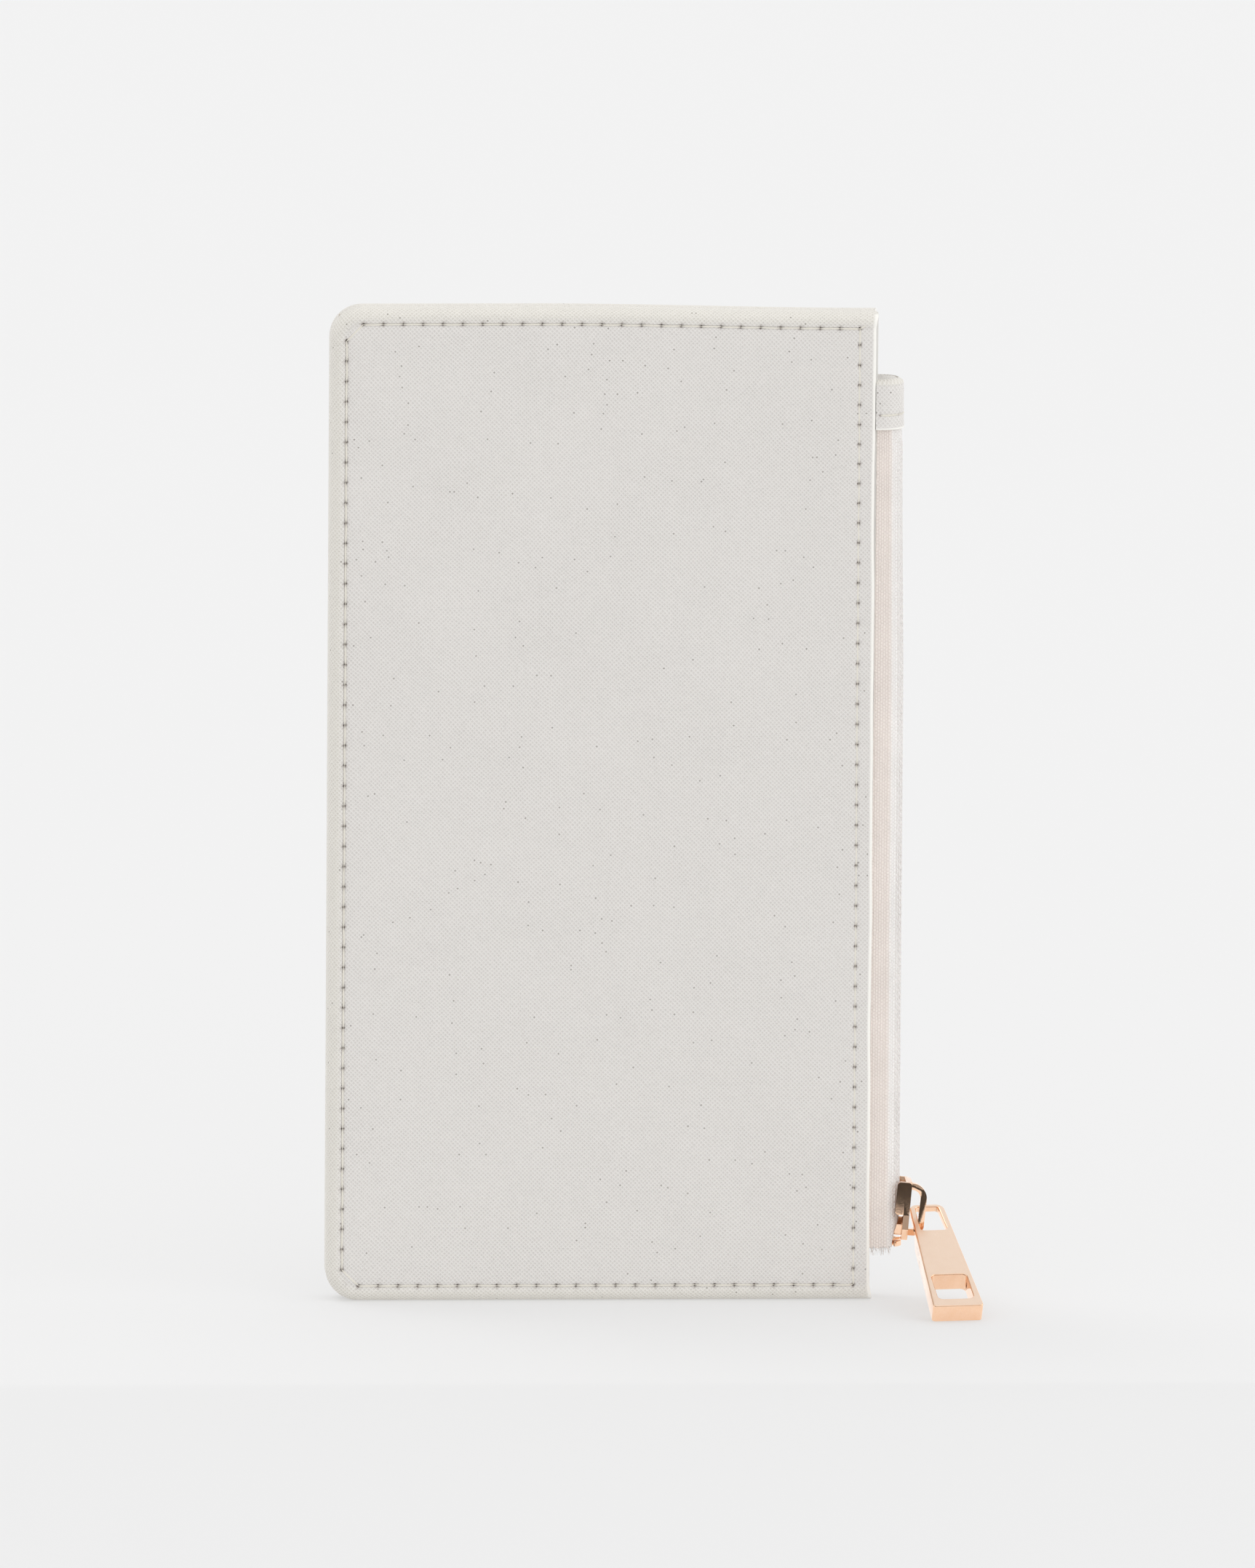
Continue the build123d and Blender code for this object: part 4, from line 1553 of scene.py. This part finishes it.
def roundedCasting(node, name, material, width, segments=3):
    # the casting with its edges broken, as tumbling leaves them
    casting = copyPiece(frame["nodes"][node], name)
    casting.parent = None
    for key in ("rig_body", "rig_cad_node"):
        if key in casting:
            del casting[key]
    openEdit(casting)
    bpy.ops.mesh.select_all(action="SELECT")
    bpy.ops.mesh.remove_doubles(threshold=0.000002)
    bpy.ops.mesh.select_all(action="SELECT")
    bpy.ops.mesh.dissolve_limited(angle_limit=math.radians(1.5))
    closeEdit()
    if casting.data.has_custom_normals:
        bpy.ops.mesh.customdata_custom_splitnormals_clear()
    casting.data.materials.clear()
    casting.data.materials.append(material)
    casting.data.materials.append(polishedMetal)
    if node == "slider_body":
        crownFlanks(casting)
    finishWith(
        casting, "BEVEL", width=width * mm, segments=segments, limit_method="ANGLE",
        angle_limit=math.radians(28), use_clamp_overlap=True, material=1,
    )
    shadeSmooth(casting, 42)
    # the broad satin face keeps its own material, and the walls and broken edges are polished
    broad = max(casting.data.polygons, key=lambda face: face.area).normal.copy()
    shown = [
        1 if abs(face.normal.dot(broad)) < 0.97 else min(face.material_index, 1)
        for face in casting.data.polygons
    ]
    useMaterial(casting, material)
    casting.data.materials.append(polishedMetal)
    casting.data.polygons.foreach_set("material_index", shown)
    return casting


for node, body, name, material, broken in (
    ("top_stop_front", "pouch", "topStopFront", polishedMetal, 0.2),
    ("top_stop_rear", "pouch", "topStopRear", polishedMetal, 0.2),
    ("slider_body", "slider", "sliderCasting", polishedMetal, 0.16),
    ("slider_pull", "pull", "pullCasting", satinMetal, 0.14),
):
    casting = roundedCasting(node, name, material, broken)
    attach(casting, body)
    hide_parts(node)
useMaterial(frame["nodes"]["bottom_stop"], polishedMetal)
print("metal finished")


# ---- the floor and the light ----

studioLook = {
    "floor": (0.44, 0.44, 0.44, 1),
    "floorGlow": 0.395,  # a translucent table, lit from below
    "metalGlow": 0.30,  # added where the metal mirrors the table
    "cardPlace": (0, -0.64, 0.001),
    "cardSize": (1.6, 1.12, 1),
    "card": (0.012, 0.011, 0.01, 1),
    "cardNap": (0.02, 0.018, 0.016, 1),
    "fill": 0.94,
    "tent": (1.15, 1.15, 1.15, 1),
    "tentOpening": (0.05, 0.045, 0.04, 1),
    "sun": 0.28,
    "front": 0.34,
    "right": 0.55,
    "sunFrom": (-0.55, 0.45, 1.25),
    "frontFrom": (0.2, -1, 0.10),
    "rightFrom": (1, -0.25, 0.3),
}


def makeFloor():
    deselectAll()
    bpy.ops.mesh.primitive_plane_add(size=40)
    floor = newPiece("floor")
    openEdit(floor)
    bpy.ops.mesh.select_all(action="SELECT")
    bpy.ops.mesh.subdivide(number_cuts=8)
    closeEdit()
    material, tree, shader = newMaterial("plainFloor", Roughness=0.8)
    shader.inputs["Specular IOR Level"].default_value = 0.1
    shade = rescale(tree, noiseOf(tree, objectMap(tree), 0.002, 2.0), 0.3, 0.7, 0.997, 1.003)
    colour = blendColours(tree, 1.0, studioLook["floor"], joinVector(tree, shade, shade, shade), "MULTIPLY")
    tree.links.new(colour, shader.inputs["Base Color"])
    shader.inputs["Emission Color"].default_value = (1, 1, 1, 1)
    path = addNode(tree, "ShaderNodeLightPath")
    mirrored = sumUp(tree, "MULTIPLY", path.outputs["Is Glossy Ray"], studioLook["metalGlow"])
    feed(tree, shader.inputs["Emission Strength"], sumUp(tree, "ADD", mirrored, studioLook["floorGlow"]))
    useMaterial(floor, material)


def makeDarkCard():
    # a dark card lying in front of the pouch, which only shiny surfaces show
    look = studioLook
    deselectAll()
    bpy.ops.mesh.primitive_plane_add(size=1, location=look["cardPlace"])
    bpy.context.active_object.scale = look["cardSize"]
    card = newPiece("darkCard")
    cloth, cardTree, cardShader = newMaterial("blackCard", Roughness=0.9)
    nap = noiseOf(cardTree, objectMap(cardTree), 0.4, 3.0)
    colour = blendColours(cardTree, nap, look["card"], look["cardNap"])
    feed(cardTree, cardShader.inputs["Base Color"], colour)
    useMaterial(card, cloth)
    card.visible_camera = False
    card.visible_diffuse = False
    card.visible_shadow = False


def makeStudio():
    # an even white tent for the cloth, with a dark opening behind the camera for the metal to show
    world = bpy.data.worlds.new("studio")
    bpy.context.scene.world = world
    world.use_nodes = True
    tree = world.node_tree
    tree.nodes.clear()
    coords = addNode(tree, "ShaderNodeTexCoord")
    east, north, up = splitVector(tree, coords.outputs["Generated"])
    low = rescale(tree, up, 0.42, 0.55, 1.0, 0.0)
    behind = rescale(tree, north, -0.35, -0.55, 0.0, 1.0)
    dark = sumUp(tree, "MULTIPLY", low, behind)
    tent = blendColours(tree, dark, studioLook["tent"], studioLook["tentOpening"])
    path = addNode(tree, "ShaderNodeLightPath")
    shown = blendColours(tree, path.outputs["Is Glossy Ray"], (1, 1, 1, 1), tent)
    light = addNode(tree, "ShaderNodeBackground")
    feed(tree, light.inputs["Color"], shown)
    light.inputs["Strength"].default_value = studioLook["fill"]
    end = addNode(tree, "ShaderNodeOutputWorld")
    tree.links.new(light.outputs[0], end.inputs[0])
    for name, strength, angle, comes in (
        ("mainLight", "sun", 24, studioLook["sunFrom"]),
        ("frontLight", "front", 60, studioLook["frontFrom"]),
        ("rightLight", "right", 70, studioLook["rightFrom"]),
    ):
        data = bpy.data.lights.new(name, "SUN")
        data.energy = studioLook[strength]
        data.angle = math.radians(angle)
        lamp = bpy.data.objects.new(name, data)
        bpy.context.scene.collection.objects.link(lamp)
        lamp.rotation_euler = Vector(comes).to_track_quat("Z", "Y").to_euler()
    bpy.context.scene.view_settings.view_transform = "Standard"


makeFloor()
makeDarkCard()
makeStudio()
print("floor and light set")
